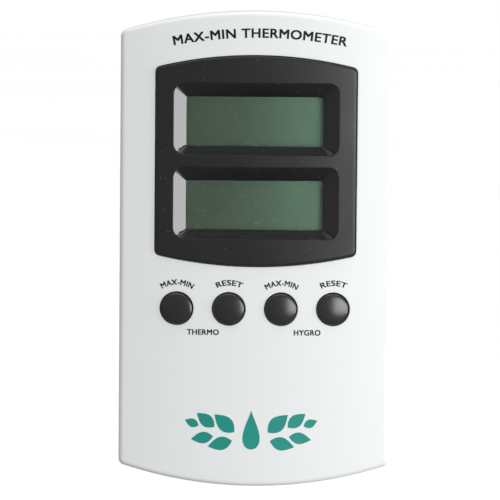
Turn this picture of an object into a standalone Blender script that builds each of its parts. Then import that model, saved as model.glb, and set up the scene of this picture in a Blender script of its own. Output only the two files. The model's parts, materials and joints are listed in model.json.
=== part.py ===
"""Digital maximum and minimum thermometer with a hygrometer, for a greenhouse wall or bench.

A white two-part case holds a dark display bezel with two liquid crystal panels, four push buttons,
a circuit board, one AAA cell, a sliding battery door, a fold-out stand and a unit switch.

The front faces -Y, +X is to the right seen from the front, and +Z is up. The origin is on the flat
back face, on the centre line, between the hanging keyhole and the stand. The parts are modelled in
the frame of the "case_middle" empty, which is on the back face at the middle of the case's height.
"""

import math
from collections import namedtuple

import bmesh
import bpy
from mathutils import Matrix, Vector

MM = 0.001

# Fits
GAP = 0.3 * MM
SEAM = 0.2 * MM
OVERCUT = 1.0 * MM

# Case
CASE_WIDTH = 62.8 * MM
CASE_HEIGHT = 110.0 * MM
CASE_DEPTH = 20.0 * MM
END_RADIUS = 105.5 * MM
FACE_RADIUS = 180.0 * MM
CORNER_RADIUS = 1.5 * MM
FRONT_RIM = 1.0 * MM
BACK_RIM = 1.4 * MM
SIDE_WALL = 1.8 * MM
FRONT_WALL = 2.0 * MM
BACK_WALL = 2.0 * MM
LOWER_BACK_WALL = 3.4 * MM
THICK_WALL_ABOVE_DOOR = 1.5 * MM
OPENING_BACK = -14.0 * MM
BOSS_ROOT = -16.8 * MM
PARTING_Y = -9.0 * MM
LIP_HEIGHT = 1.4 * MM
LIP_WALL = 0.6 * MM
COLUMNS = 12
MIDDLE_BELOW_ORIGIN = 33.0 * MM

# Display
BEZEL_WIDTH = 46.8 * MM
BEZEL_TOP = 45.4 * MM
BEZEL_BOTTOM = -3.75 * MM
BEZEL_TOP_RADIUS = 94.0 * MM
BEZEL_BOTTOM_RADIUS = 104.0 * MM
BEZEL_CORNER = 1.2 * MM
BEZEL_RIM = 0.45 * MM
BEZEL_PROUD = 0.5 * MM
BEZEL_FLANGE = 1.2 * MM
BEZEL_BACK = -14.6 * MM
PLUG_BACK = -15.4 * MM
WINDOW_HEIGHTS = {"upper": 30.2 * MM, "lower": 10.8 * MM}
WINDOW_WIDTH = 38.0 * MM
WINDOW_HEIGHT = 16.6 * MM
WINDOW_CORNER = 2.6 * MM
BEVEL_LEFT = 2.95 * MM
BEVEL_RIGHT = 3.45 * MM
BEVEL_TOP = 3.2 * MM
BEVEL_BOTTOM = 1.9 * MM
VIEW_CORNER = 0.6 * MM
VIEW_Y = -17.5 * MM
POCKET_FRONT = -17.0 * MM
POCKET_WIDTH = 36.6 * MM
POCKET_HEIGHT = 16.1 * MM
LENS_THICKNESS = 0.8 * MM
GLASS_THICKNESS = 1.8 * MM
GLASS_LEDGE = 2.2 * MM
STRIP_LENGTH = 33.0 * MM
STRIP_WIDTH = 1.5 * MM
HOLDER_WIDTH = 40.0 * MM
HOLDER_MARGIN = 1.6 * MM

# Circuit board
BOARD_FRONT = -11.0 * MM
BOARD_THICKNESS = 1.2 * MM
BOARD_HALF_WIDTH = 27.5 * MM
BOARD_TOP = 41.5 * MM
BOARD_BOTTOM = -20.0 * MM
UPPER_BOARD_SCREWS = (22.6 * MM, 38.4 * MM)
LOWER_BOARD_SCREWS = (24.9 * MM, -17.4 * MM)
BOARD_CORNER = 1.5 * MM
BOARD_POST_RADIUS = 2.0 * MM
BOARD_PILOT_RADIUS = 1.15 * MM
CHIP_RADIUS = 5.5 * MM
CHIP_HEIGHT = 1.6 * MM
CHIP_X = 2.0 * MM
CHIP_HEIGHTS = {"thermo": 28.2 * MM, "hygro": 10.8 * MM}
CRYSTAL_X = (11.0 * MM, 17.0 * MM)
CRYSTAL_RADIUS = 1.0 * MM

# Buttons and their switches
BUTTON_NAMES = ("thermo_max_min", "thermo_reset", "hygro_max_min", "hygro_reset")
BUTTON_PITCH = 12.07 * MM
BUTTON_HEIGHT = -13.7 * MM
BUTTON_RADIUS = 3.65 * MM
BUTTON_HOLE_RADIUS = 3.9 * MM
BUTTON_FLANGE_RADIUS = 4.7 * MM
BUTTON_FLANGE = 0.7 * MM
BUTTON_SHOULDER_PROUD = 0.4 * MM
BUTTON_DOME = 0.85 * MM
BUTTON_EDGE = 0.25 * MM
BUTTON_STEM_RADIUS = 1.6 * MM
STEM_END = -15.2 * MM
SWITCH_SIDE = 6.0 * MM
SWITCH_FRONT = -13.6 * MM
SWITCH_BORE_RADIUS = 2.0 * MM
SWITCH_BORE_END = -11.1 * MM
PLUNGER_RADIUS = 1.65 * MM
PLUNGER_FRONT = -14.9 * MM
PLUNGER_BACK = -12.3 * MM
PLUNGER_EDGE = 0.2 * MM

# Screws
CASE_SCREWS_UPPER = (26.0 * MM, 46.3 * MM)
CASE_SCREWS_LOWER = (24.5 * MM, -25.7 * MM)
CASE_BOSS_RADIUS = 3.4 * MM
FRONT_BOSS_RADIUS = 2.9 * MM
COUNTERBORE_RADIUS = 2.6 * MM
COUNTERBORE_END = -4.6 * MM
CASE_PILOT_RADIUS = 1.4 * MM
CASE_PILOT_END = -16.0 * MM
CASE_SCREW_HEAD = (2.1 * MM, 1.5 * MM)
CASE_SCREW_SHANK = (1.1 * MM, 10.5 * MM)
BOARD_SCREW_HEAD = (1.7 * MM, 1.1 * MM)
BOARD_SCREW_SHANK = (0.85 * MM, 4.2 * MM)

# Battery
CELL_RADIUS = 5.2 * MM
CELL_LENGTH = 43.7 * MM
NUB_RADIUS = 1.9 * MM
NUB_LENGTH = 0.8 * MM
CELL_EDGE = 0.4 * MM
CELL_LEFT = -21.2 * MM
CELL_Y = -7.8 * MM
CELL_Z = -38.5 * MM
BAY_HALF_LENGTH = 24.6 * MM
BAY_HALF_HEIGHT = 5.9 * MM
BAY_FRONT = -13.4 * MM
BAY_WALL = 1.2 * MM
CONTACT_THICKNESS = 0.5 * MM
CONTACT_HALF_WIDTH = 2.2 * MM
CONTACT_TOP = -29.9 * MM
SPRING_TURNS = 3
SPRING_WIRE = 0.6 * MM
SPRING_LENGTH = 2.0 * MM
SPRING_WIDE = 3.4 * MM
SPRING_NARROW = 1.8 * MM
WIRE_RADIUS = 0.55 * MM
WIRE_TAB_DROP = 0.5 * MM
WIRE_TAB_RUN = 2.0 * MM
WIRE_RISER_X = 18.6 * MM
WIRE_RISER_SETBACK = 1.0 * MM
WIRE_RISER_START = 3.6 * MM
WIRE_RISER_END = 1.5 * MM
WIRE_BEND = (0.8 * MM, 0.5 * MM, 1.0 * MM)
WIRE_JOINT_HEIGHT = 4.3 * MM

# Battery door
DOOR_HALF_WIDTH = 25.6 * MM
DOOR_TOP = -31.0 * MM
DOOR_THICKNESS = 1.6 * MM
DOOR_TONGUE = 1.1 * MM
DOOR_TONGUE_FRONT = -1.6 * MM
DOOR_TONGUE_BACK = -1.0 * MM
GRIP_GROOVES = 5
GRIP_PITCH = 1.5 * MM
GRIP_DEPTH = 0.5 * MM
GRIP_HALF_WIDTH = 7.0 * MM

# Stand
STAND_WIDTH = 28.0 * MM
STAND_LENGTH = 46.0 * MM
STAND_THICKNESS = 2.2 * MM
STAND_BARREL = 1.9 * MM
STAND_FACE = 1.85 * MM
STAND_AXIS_Y = -2.2 * MM
STAND_AXIS_Z = -25.0 * MM
STAND_PIN_RADIUS = 1.0 * MM
STAND_PIN_LENGTH = 1.6 * MM
STAND_CORNER = 3.0 * MM
STAND_GROOVES = 3
WELL_SIDE_WALL = 2.7 * MM
WELL_FLOOR = -4.5 * MM
WELL_FLOOR_WALL = 1.6 * MM
WELL_BELOW_AXIS = 3.1 * MM
NOTCH_RADIUS = 5.5 * MM
NOTCH_FLOOR = -3.2 * MM

# Back features
KEYHOLE_Z = 41.2 * MM
KEYHOLE_RADIUS = 3.5 * MM
KEYHOLE_SLOT_RADIUS = 1.8 * MM
KEYHOLE_SLOT_TOP = 46.6 * MM
VENT_COUNT = 5
VENT_PITCH = 3.2 * MM
VENT_SIZE = (8.0 * MM, 1.4 * MM)
VENT_X = -23.5 * MM
VENT_Z = 9.0 * MM
SENSOR_PLATE_FRONT = -6.6 * MM
SENSOR_PLATE = (5.0 * MM, 1.0 * MM, 8.0 * MM)
SENSOR_PLATE_BELOW_VENTS = 6.5 * MM
SENSOR_LEAD_SPREAD = 1.3 * MM
THERMISTOR_ABOVE_VENTS = 5.5 * MM
THERMISTOR_RADIUS = 1.3 * MM
THERMISTOR_LEAD_SPREAD = 0.7 * MM
LEAD_RADIUS = 0.25 * MM
LEAD_STEPS = 8
SWITCH_X = 23.5 * MM
SWITCH_Z = 9.0 * MM
SWITCH_TRAVEL = 2.2 * MM
SLIDE_BODY = (4.6 * MM, 3.2 * MM, 9.6 * MM)
SLIDE_SLOT = (2.4 * MM, 2.2 * MM, 6.4 * MM)
KNOB_FOOT = (1.6 * MM, 3.2 * MM)
KNOB_GRIP = (2.8 * MM, 3.2 * MM)
KNOB_BACK = -0.6 * MM
KNOB_GROOVE = (0.5 * MM, 0.4 * MM)
KNOB_GROOVE_PITCH = 1.0 * MM
SLIDE_WINDOW = (3.6 * MM, 6.6 * MM)

ROUND_STEPS = 20
SMALL_STEPS = 12
BUTTON_HOLE_STEPS = 24
CORNER_STEPS = 3
RIM_STEPS = 2
DOME_STEPS = 5
WINDOW_CORNER_STEPS = 4
WINDOW_EDGE_STEPS = 4
SPRING_STEPS_PER_TURN = 14
WIRE_STEPS = 4

# Rotations that turn a turned piece's top from +Z to the side named
TOWARDS_FRONT = (math.radians(90.0), 0.0, 0.0)
TOWARDS_BACK = (math.radians(-90.0), 0.0, 0.0)
TOWARDS_RIGHT = (0.0, math.radians(90.0), 0.0)

Barrel = namedtuple("Barrel", "half_width top bottom top_radius bottom_radius corner")
Face = namedtuple("Face", "apex radius")

FINISHES = {
    "white_case": ((0.80, 0.82, 0.82), 0.28, 0.0),
    "dark_bezel": ((0.032, 0.032, 0.034), 0.22, 0.0),
    "button_grey": ((0.040, 0.042, 0.044), 0.20, 0.0),
    "lens_clear": ((0.90, 0.93, 0.92), 0.04, 0.0),
    "lcd_glass": ((0.075, 0.115, 0.075), 0.12, 0.0),
    "zebra_rubber": ((0.55, 0.20, 0.22), 0.60, 0.0),
    "holder_plastic": ((0.72, 0.72, 0.70), 0.45, 0.0),
    "board_green": ((0.02, 0.16, 0.06), 0.38, 0.0),
    "chip_epoxy": ((0.015, 0.015, 0.016), 0.30, 0.0),
    "switch_plastic": ((0.03, 0.03, 0.03), 0.45, 0.0),
    "tin_steel": ((0.72, 0.72, 0.70), 0.30, 1.0),
    "nickel_steel": ((0.70, 0.69, 0.66), 0.25, 1.0),
    "cell_jacket": ((0.05, 0.10, 0.20), 0.30, 0.6),
    "red_wire": ((0.60, 0.03, 0.02), 0.45, 0.0),
    "black_wire": ((0.02, 0.02, 0.02), 0.45, 0.0),
    "sensor_white": ((0.75, 0.74, 0.68), 0.50, 0.0),
    "thermistor_black": ((0.02, 0.02, 0.02), 0.35, 0.0),
    "screw_zinc": ((0.66, 0.66, 0.64), 0.32, 1.0),
}


def clear_scene():
    for item in list(bpy.data.objects):
        bpy.data.objects.remove(item, do_unlink=True)


def new_collection(name):
    collection = bpy.data.collections.new(name)
    bpy.context.scene.collection.children.link(collection)
    return collection


def new_material(name, finish):
    colour, roughness, metallic = FINISHES[finish]
    material = bpy.data.materials.new(name)
    material.use_nodes = True
    shader = material.node_tree.nodes["Principled BSDF"]
    shader.inputs["Base Color"].default_value = (*colour, 1.0)
    shader.inputs["Roughness"].default_value = roughness
    shader.inputs["Metallic"].default_value = metallic
    return material


class Workshop:
    """The two collections, and the empty that every part and every cutter hangs on."""

    def __init__(self):
        self.parts = new_collection("max_min_thermometer")
        self.tools = new_collection("cutters")
        self.middle = bpy.data.objects.new("case_middle", None)
        self.middle.location = (0.0, 0.0, -MIDDLE_BELOW_ORIGIN)
        self.parts.objects.link(self.middle)

    def part(self, name, shape, finish, location=(0.0, 0.0, 0.0)):
        mesh = finish_mesh(name, shape)
        mesh.materials.append(new_material(name, finish))
        item = bpy.data.objects.new(name, mesh)
        item.parent = self.middle
        item.location = location
        self.parts.objects.link(item)
        return item

    def tool(self, name, shape, location=(0.0, 0.0, 0.0)):
        item = bpy.data.objects.new(name, finish_mesh(name, shape))
        item.parent = self.middle
        item.location = location
        item.hide_render = True
        item.display_type = "WIRE"
        self.tools.objects.link(item)
        return item


def finish_mesh(name, shape):
    """Turns a bmesh into a mesh whose round faces shade smooth."""
    mesh = bpy.data.meshes.new(name)
    bmesh.ops.recalc_face_normals(shape, faces=shape.faces)
    shape.to_mesh(mesh)
    shape.free()
    mesh.shade_smooth()
    mesh.set_sharp_from_angle(angle=math.radians(30.0))
    return mesh


def combine(target, tool, operation):
    """Joins the tool to the target, cuts the target with it, or keeps what they share."""
    modifier = target.modifiers.new(f"{operation.lower()}_{tool.name}", "BOOLEAN")
    modifier.operation = operation
    modifier.object = tool
    modifier.solver = "EXACT"


def sagitta(x, radius):
    """How far an arc with its apex at x = 0 has fallen away at x."""
    return radius - math.sqrt(radius * radius - x * x)


def face_y(face, x):
    if face.radius is None:
        return face.apex
    return face.apex + sagitta(x, face.radius)


def grown(barrel, amount):
    """The same outline, wider by an amount on every side."""
    return Barrel(
        barrel.half_width + amount,
        barrel.top + amount,
        barrel.bottom - amount,
        barrel.top_radius + amount,
        barrel.bottom_radius + amount,
        max(barrel.corner + amount, GAP),
    )


def add_box(shape, low, high):
    low = Vector(low)
    size = Vector(high) - low
    placing = Matrix.Translation(low + size / 2) @ Matrix.Diagonal((*size, 1.0))
    bmesh.ops.create_cube(shape, size=1.0, matrix=placing)


def add_rod(shape, start, end, radius, end_radius=None, steps=ROUND_STEPS):
    start = Vector(start)
    run = Vector(end) - start
    turn = Vector((0.0, 0.0, 1.0)).rotation_difference(run).to_matrix().to_4x4()
    bmesh.ops.create_cone(
        shape,
        cap_ends=True,
        segments=steps,
        radius1=radius,
        radius2=radius if end_radius is None else end_radius,
        depth=run.length,
        matrix=Matrix.Translation(start + run / 2) @ turn,
    )


def box_shape(*corner_pairs):
    shape = bmesh.new()
    for low, high in corner_pairs:
        add_box(shape, low, high)
    return shape


def rods_shape(spots, y_start, y_end, radius, steps=ROUND_STEPS):
    """Rods along Y, one at each (x, z) spot."""
    shape = bmesh.new()
    for x, z in spots:
        add_rod(shape, (x, y_start, z), (x, y_end, z), radius, steps=steps)
    return shape


def barrel_shape(barrel, face, flat_y, rim=0.0):
    """A block with straight sides and arched ends, flat at flat_y, whose other face may bulge."""
    shape = bmesh.new()
    bmesh.ops.create_grid(shape, x_segments=COLUMNS, y_segments=1, size=1.0)
    for vert in shape.verts:
        x = vert.co.x * barrel.half_width
        top = barrel.top - sagitta(x, barrel.top_radius)
        bottom = barrel.bottom + sagitta(x, barrel.bottom_radius)
        vert.co = (x, face_y(face, x), top if vert.co.y > 0 else bottom)
    swept = bmesh.ops.extrude_face_region(shape, geom=list(shape.faces))
    for vert in swept["geom"]:
        if isinstance(vert, bmesh.types.BMVert):
            vert.co.y = flat_y
    bmesh.ops.recalc_face_normals(shape, faces=shape.faces)
    corners = [edge for edge in shape.edges if is_corner(edge, barrel.half_width)]
    round_edges(shape, corners, barrel.corner, CORNER_STEPS)
    if rim > 0.0:
        side = 1.0 if face.apex > flat_y else -1.0
        round_edges(shape, [edge for edge in shape.edges if is_rim(edge, side)], rim, RIM_STEPS)
    return shape


def is_corner(edge, half_width):
    first, second = (vert.co for vert in edge.verts)
    along_depth = abs(first.z - second.z) < GAP / 10 and abs(first.x - second.x) < GAP / 10
    return along_depth and abs(abs(first.x) - half_width) < GAP / 10


def is_rim(edge, side):
    """Whether an edge lies between the bulging face and a side wall."""
    leans = sorted(face.normal.y * side for face in edge.link_faces)
    return leans[-1] > 0.7 and abs(leans[0]) < 0.3


def round_edges(shape, edges, radius, segments):
    bmesh.ops.bevel(shape, geom=edges, offset=radius, segments=segments, profile=0.5, affect="EDGES")


def case_outline():
    half = CASE_HEIGHT / 2
    return Barrel(CASE_WIDTH / 2, half, -half, END_RADIUS, END_RADIUS, CORNER_RADIUS)


def bezel_outline():
    return Barrel(
        BEZEL_WIDTH / 2, BEZEL_TOP, BEZEL_BOTTOM, BEZEL_TOP_RADIUS, BEZEL_BOTTOM_RADIUS, BEZEL_CORNER
    )


def front_face(depth_below=0.0):
    """The bulging front, or a face that lies below it by a depth."""
    return Face(-CASE_DEPTH + depth_below, FACE_RADIUS - depth_below)


def flat_at(y):
    return Face(y, None)


def mirrored(spot):
    return [(-spot[0], spot[1]), spot]


def turned(workshop, name, profile, finish, location, turn, steps=ROUND_STEPS):
    """A turned piece: its profile is (radius, height) from the top of its axis to the bottom."""
    mesh = bpy.data.meshes.new(name)
    shape = bmesh.new()
    verts = [shape.verts.new((radius, 0.0, height)) for radius, height in profile]
    for first, second in zip(verts, verts[1:]):
        shape.edges.new((first, second))
    shape.to_mesh(mesh)
    shape.free()
    mesh.materials.append(new_material(name, finish))
    item = bpy.data.objects.new(name, mesh)
    item.parent = workshop.middle
    item.location = location
    item.rotation_euler = turn
    workshop.parts.objects.link(item)
    screw = item.modifiers.new("turn", "SCREW")
    screw.steps = steps
    screw.render_steps = steps
    screw.use_merge_vertices = True
    screw.merge_threshold = 0.00001
    screw.use_smooth_shade = True
    return item


def smooth_route(points, steps):
    """Points on a Catmull-Rom curve through the given ones."""
    points = [Vector(point) for point in points]
    padded = [2 * points[0] - points[1]] + points + [2 * points[-1] - points[-2]]
    route = []
    for index in range(1, len(padded) - 2):
        before, start, end, after = padded[index - 1:index + 3]
        for step in range(steps):
            t = step / steps
            route.append(
                0.5
                * (
                    2 * start
                    + (end - before) * t
                    + (2 * before - 5 * start + 4 * end - after) * t ** 2
                    + (3 * start - before - 3 * end + after) * t ** 3
                )
            )
    route.append(points[-1])
    return route


def tube_shape(name, route, radius):
    """A closed tube along a route, with its end caps welded on."""
    curve = bpy.data.curves.new(name, "CURVE")
    curve.dimensions = "3D"
    curve.bevel_depth = radius
    curve.bevel_resolution = 2
    curve.use_fill_caps = True
    spline = curve.splines.new("POLY")
    spline.points.add(len(route) - 1)
    for point, place in zip(spline.points, route):
        point.co = (*place, 1.0)
    wire = bpy.data.objects.new(name, curve)
    bpy.context.scene.collection.objects.link(wire)
    graph = bpy.context.evaluated_depsgraph_get()
    mesh = bpy.data.meshes.new_from_object(wire.evaluated_get(graph))
    shape = bmesh.new()
    shape.from_mesh(mesh)
    bmesh.ops.remove_doubles(shape, verts=shape.verts, dist=0.00001)
    bpy.data.objects.remove(wire, do_unlink=True)
    bpy.data.curves.remove(curve)
    bpy.data.meshes.remove(mesh)
    return shape


def add_ring(shape, width, height, corner, centre, depth_at):
    """A rounded rectangle of vertices, at the depth that depth_at gives for each place."""
    half = (width / 2 - corner, height / 2 - corner)
    ring = []
    for quarter in range(4):
        sign_x, sign_z = ((1, 1), (-1, 1), (-1, -1), (1, -1))[quarter]
        for step in range(WINDOW_CORNER_STEPS + 1):
            angle = math.radians(90.0 * (quarter + step / WINDOW_CORNER_STEPS))
            x = centre[0] + sign_x * half[0] + corner * math.cos(angle)
            z = centre[1] + sign_z * half[1] + corner * math.sin(angle)
            ring.append((x, z))
        if sign_x * sign_z > 0:
            for step in range(1, WINDOW_EDGE_STEPS):
                share = 1.0 - 2.0 * step / WINDOW_EDGE_STEPS
                x = centre[0] + sign_x * half[0] * share
                ring.append((x, centre[1] + sign_z * height / 2))
    return [shape.verts.new((x, depth_at(x), z)) for x, z in ring]


def window_shape(height):
    """The bevelled opening in front of one panel, wide at the bezel's face and narrow inside."""
    face = front_face(-BEZEL_PROUD)
    view_width = WINDOW_WIDTH - BEVEL_LEFT - BEVEL_RIGHT
    view_height = WINDOW_HEIGHT - BEVEL_TOP - BEVEL_BOTTOM
    view_centre = ((BEVEL_LEFT - BEVEL_RIGHT) / 2, height + (BEVEL_BOTTOM - BEVEL_TOP) / 2)
    above_face = face.apex - OVERCUT
    shape = bmesh.new()
    rings = [
        add_ring(shape, WINDOW_WIDTH, WINDOW_HEIGHT, WINDOW_CORNER, (0.0, height), lambda x: above_face),
        add_ring(shape, WINDOW_WIDTH, WINDOW_HEIGHT, WINDOW_CORNER, (0.0, height), lambda x: face_y(face, x)),
        add_ring(shape, view_width, view_height, VIEW_CORNER, view_centre, lambda x: VIEW_Y),
        add_ring(shape, view_width, view_height, VIEW_CORNER, view_centre, lambda x: POCKET_FRONT + GAP),
    ]
    count = len(rings[0])
    for outer, inner in zip(rings, rings[1:]):
        for index in range(count):
            following = (index + 1) % count
            shape.faces.new((outer[index], outer[following], inner[following], inner[index]))
    shape.faces.new(rings[0])
    shape.faces.new(list(reversed(rings[-1])))
    return shape


def make_front_cover(workshop):
    outline = case_outline()
    cover = workshop.part(
        "front_cover", barrel_shape(outline, front_face(), PARTING_Y - GAP / 2, FRONT_RIM), "white_case"
    )
    inside = barrel_shape(grown(outline, -SIDE_WALL), front_face(FRONT_WALL), PARTING_Y + OVERCUT)
    combine(cover, workshop.tool("front_inside", inside), "DIFFERENCE")
    step_outline = grown(outline, -SIDE_WALL + LIP_WALL + GAP)
    step = barrel_shape(step_outline, flat_at(PARTING_Y - LIP_HEIGHT - GAP), PARTING_Y + OVERCUT)
    combine(cover, workshop.tool("front_lip_step", step), "DIFFERENCE")
    opening = barrel_shape(grown(bezel_outline(), SEAM), flat_at(-CASE_DEPTH - OVERCUT), OPENING_BACK)
    combine(cover, workshop.tool("bezel_opening", opening), "DIFFERENCE")

    bosses = mirrored(CASE_SCREWS_UPPER) + mirrored(CASE_SCREWS_LOWER)
    posts = rods_shape(bosses, BOSS_ROOT, PARTING_Y - GAP, FRONT_BOSS_RADIUS)
    for x, z in mirrored(LOWER_BOARD_SCREWS):
        add_rod(posts, (x, BOSS_ROOT, z), (x, BOARD_FRONT - GAP, z), BOARD_POST_RADIUS, steps=SMALL_STEPS)
    combine(cover, workshop.tool("front_posts", posts), "UNION")

    holes = rods_shape(bosses, CASE_PILOT_END, PARTING_Y + OVERCUT, CASE_PILOT_RADIUS, SMALL_STEPS)
    for x, z in mirrored(LOWER_BOARD_SCREWS):
        start = (x, BOARD_FRONT - BOARD_SCREW_SHANK[1], z)
        end = (x, BOARD_FRONT + OVERCUT, z)
        add_rod(holes, start, end, BOARD_PILOT_RADIUS, steps=SMALL_STEPS)
    for x in button_places():
        start = (x, -CASE_DEPTH - OVERCUT, BUTTON_HEIGHT)
        end = (x, OPENING_BACK, BUTTON_HEIGHT)
        add_rod(holes, start, end, BUTTON_HOLE_RADIUS, steps=BUTTON_HOLE_STEPS)
    combine(cover, workshop.tool("front_holes", holes), "DIFFERENCE")


def make_rear_cover(workshop):
    outline = case_outline()
    parting = PARTING_Y + GAP / 2
    cover = workshop.part("rear_cover", barrel_shape(outline, flat_at(0.0), parting, BACK_RIM), "white_case")
    lip_outline = grown(outline, -SIDE_WALL + LIP_WALL)
    lip = barrel_shape(lip_outline, flat_at(PARTING_Y - LIP_HEIGHT), PARTING_Y / 2)
    combine(cover, workshop.tool("rear_lip", lip), "UNION")
    inside = barrel_shape(
        grown(outline, -SIDE_WALL), flat_at(-LOWER_BACK_WALL), PARTING_Y - LIP_HEIGHT - OVERCUT
    )
    combine(cover, workshop.tool("rear_inside", inside), "DIFFERENCE")
    combine(cover, workshop.tool("rear_upper_inside", upper_inside_shape()), "DIFFERENCE")
    combine(cover, workshop.tool("rear_blocks", rear_blocks_shape()), "UNION")
    combine(cover, workshop.tool("rear_bosses", rear_bosses_shape()), "UNION")
    combine(cover, workshop.tool("stand_well", stand_well_shape()), "DIFFERENCE")
    combine(cover, workshop.tool("stand_well_rounds", stand_rounds_shape()), "DIFFERENCE")
    combine(cover, workshop.tool("battery_bay", battery_bay_shape()), "DIFFERENCE")
    combine(cover, workshop.tool("contact_slots", contact_slots_shape()), "DIFFERENCE")
    combine(cover, workshop.tool("door_seat", door_seat_shape()), "DIFFERENCE")
    combine(cover, workshop.tool("door_side_grooves", door_grooves_shape()), "DIFFERENCE")
    combine(cover, workshop.tool("rear_windows", rear_windows_shape()), "DIFFERENCE")
    combine(cover, workshop.tool("rear_screw_holes", rear_screw_holes_shape()), "DIFFERENCE")
    combine(cover, workshop.tool("rear_counterbores", rear_counterbores_shape()), "DIFFERENCE")
    combine(cover, workshop.tool("keyhole_slot", keyhole_slot_shape()), "DIFFERENCE")
    combine(cover, workshop.tool("keyhole_bore", keyhole_bore_shape()), "DIFFERENCE")


def upper_inside_shape():
    """The deeper part of the rear cover's inside, above the thick wall that carries the door."""
    half = CASE_WIDTH / 2 - 2 * SIDE_WALL
    low = (-half, -LOWER_BACK_WALL - OVERCUT, DOOR_TOP + THICK_WALL_ABOVE_DOOR)
    return box_shape((low, (half, -BACK_WALL, CASE_SCREWS_UPPER[1] + BACK_WALL)))


def rear_blocks_shape():
    """The walls round the stand's well and round the battery bay, as two solid blocks."""
    well_half = STAND_WIDTH / 2 + GAP + WELL_SIDE_WALL
    well_low = STAND_AXIS_Z - WELL_BELOW_AXIS - BAY_WALL
    well_high = stand_top() + NOTCH_RADIUS + 2 * BAY_WALL
    bay_half = BAY_HALF_LENGTH + BAY_WALL
    bay_height = BAY_HALF_HEIGHT + BAY_WALL
    root = -BACK_WALL / 2
    return box_shape(
        ((-well_half, WELL_FLOOR - WELL_FLOOR_WALL, well_low), (well_half, root, well_high)),
        ((-bay_half, BAY_FRONT - BAY_WALL, CELL_Z - bay_height), (bay_half, root, CELL_Z + bay_height)),
    )


def rear_bosses_shape():
    spots = mirrored(CASE_SCREWS_UPPER) + mirrored(CASE_SCREWS_LOWER)
    return rods_shape(spots, -BACK_WALL / 2, PARTING_Y + GAP, CASE_BOSS_RADIUS)


def stand_top():
    return STAND_AXIS_Z + STAND_LENGTH + GAP


def stand_well_shape():
    half = STAND_WIDTH / 2 + GAP
    return box_shape(
        ((-half, WELL_FLOOR, STAND_AXIS_Z - WELL_BELOW_AXIS), (half, OVERCUT, stand_top()))
    )


def stand_rounds_shape():
    """The finger notch above the stand and the two holes for its pins."""
    shape = bmesh.new()
    add_rod(shape, (0.0, NOTCH_FLOOR, stand_top()), (0.0, OVERCUT, stand_top()), NOTCH_RADIUS)
    reach = STAND_WIDTH / 2 + STAND_PIN_LENGTH + 2 * GAP
    for side in (-1, 1):
        start = (side * (STAND_WIDTH / 2 - GAP), STAND_AXIS_Y, STAND_AXIS_Z)
        end = (side * reach, STAND_AXIS_Y, STAND_AXIS_Z)
        add_rod(shape, start, end, STAND_PIN_RADIUS + GAP, steps=SMALL_STEPS)
    return shape


def battery_bay_shape():
    low = (-BAY_HALF_LENGTH, BAY_FRONT, CELL_Z - BAY_HALF_HEIGHT)
    return box_shape((low, (BAY_HALF_LENGTH, OVERCUT, CELL_Z + BAY_HALF_HEIGHT)))


def contact_slots_shape():
    """The slots in the bay's upper wall that the contacts' solder tabs pass through."""
    shape = bmesh.new()
    half = CONTACT_THICKNESS / 2 + GAP
    for side in (-1, 1):
        middle = side * contact_x()
        low = (middle - half, CELL_Y - CONTACT_HALF_WIDTH - GAP, CELL_Z + BAY_HALF_HEIGHT - GAP)
        high = (middle + half, CELL_Y + CONTACT_HALF_WIDTH + GAP, CONTACT_TOP + OVERCUT)
        add_box(shape, low, high)
    return shape


def contact_x():
    return BAY_HALF_LENGTH - GAP - CONTACT_THICKNESS / 2


def door_seat_shape():
    """The door's flat seat, open at the case's bottom edge."""
    half = DOOR_HALF_WIDTH + GAP
    low = (-half, -DOOR_THICKNESS - GAP, -CASE_HEIGHT / 2 - OVERCUT)
    return box_shape((low, (half, OVERCUT, DOOR_TOP + GAP)))


def door_grooves_shape():
    """A groove along each side of the seat, for the door's tongues."""
    shape = bmesh.new()
    near = DOOR_HALF_WIDTH
    far = DOOR_HALF_WIDTH + GAP + DOOR_TONGUE
    for side in (-1, 1):
        low = (min(side * near, side * far), DOOR_TONGUE_FRONT - GAP, -CASE_HEIGHT / 2 - OVERCUT)
        high = (max(side * near, side * far), DOOR_TONGUE_BACK + GAP, DOOR_TOP + GAP)
        add_box(shape, low, high)
    return shape


def rear_windows_shape():
    """The sensor's vents, and the opening for the unit switch."""
    shape = bmesh.new()
    for index in range(VENT_COUNT):
        z = VENT_Z + (index - (VENT_COUNT - 1) / 2) * VENT_PITCH
        low = (VENT_X - VENT_SIZE[0] / 2, -LOWER_BACK_WALL, z - VENT_SIZE[1] / 2)
        add_box(shape, low, (VENT_X + VENT_SIZE[0] / 2, OVERCUT, z + VENT_SIZE[1] / 2))
    low = (SWITCH_X - SLIDE_WINDOW[0] / 2, -LOWER_BACK_WALL, SWITCH_Z - SLIDE_WINDOW[1] / 2)
    add_box(shape, low, (SWITCH_X + SLIDE_WINDOW[0] / 2, OVERCUT, SWITCH_Z + SLIDE_WINDOW[1] / 2))
    return shape


def rear_screw_holes_shape():
    spots = mirrored(CASE_SCREWS_UPPER) + mirrored(CASE_SCREWS_LOWER)
    return rods_shape(spots, PARTING_Y - OVERCUT, -BACK_WALL, CASE_PILOT_RADIUS, SMALL_STEPS)


def rear_counterbores_shape():
    spots = mirrored(CASE_SCREWS_UPPER) + mirrored(CASE_SCREWS_LOWER)
    return rods_shape(spots, COUNTERBORE_END, OVERCUT, COUNTERBORE_RADIUS)


def keyhole_slot_shape():
    shape = bmesh.new()
    add_rod(
        shape,
        (0.0, -LOWER_BACK_WALL, KEYHOLE_SLOT_TOP - KEYHOLE_SLOT_RADIUS),
        (0.0, OVERCUT, KEYHOLE_SLOT_TOP - KEYHOLE_SLOT_RADIUS),
        KEYHOLE_SLOT_RADIUS,
    )
    return shape


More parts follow.
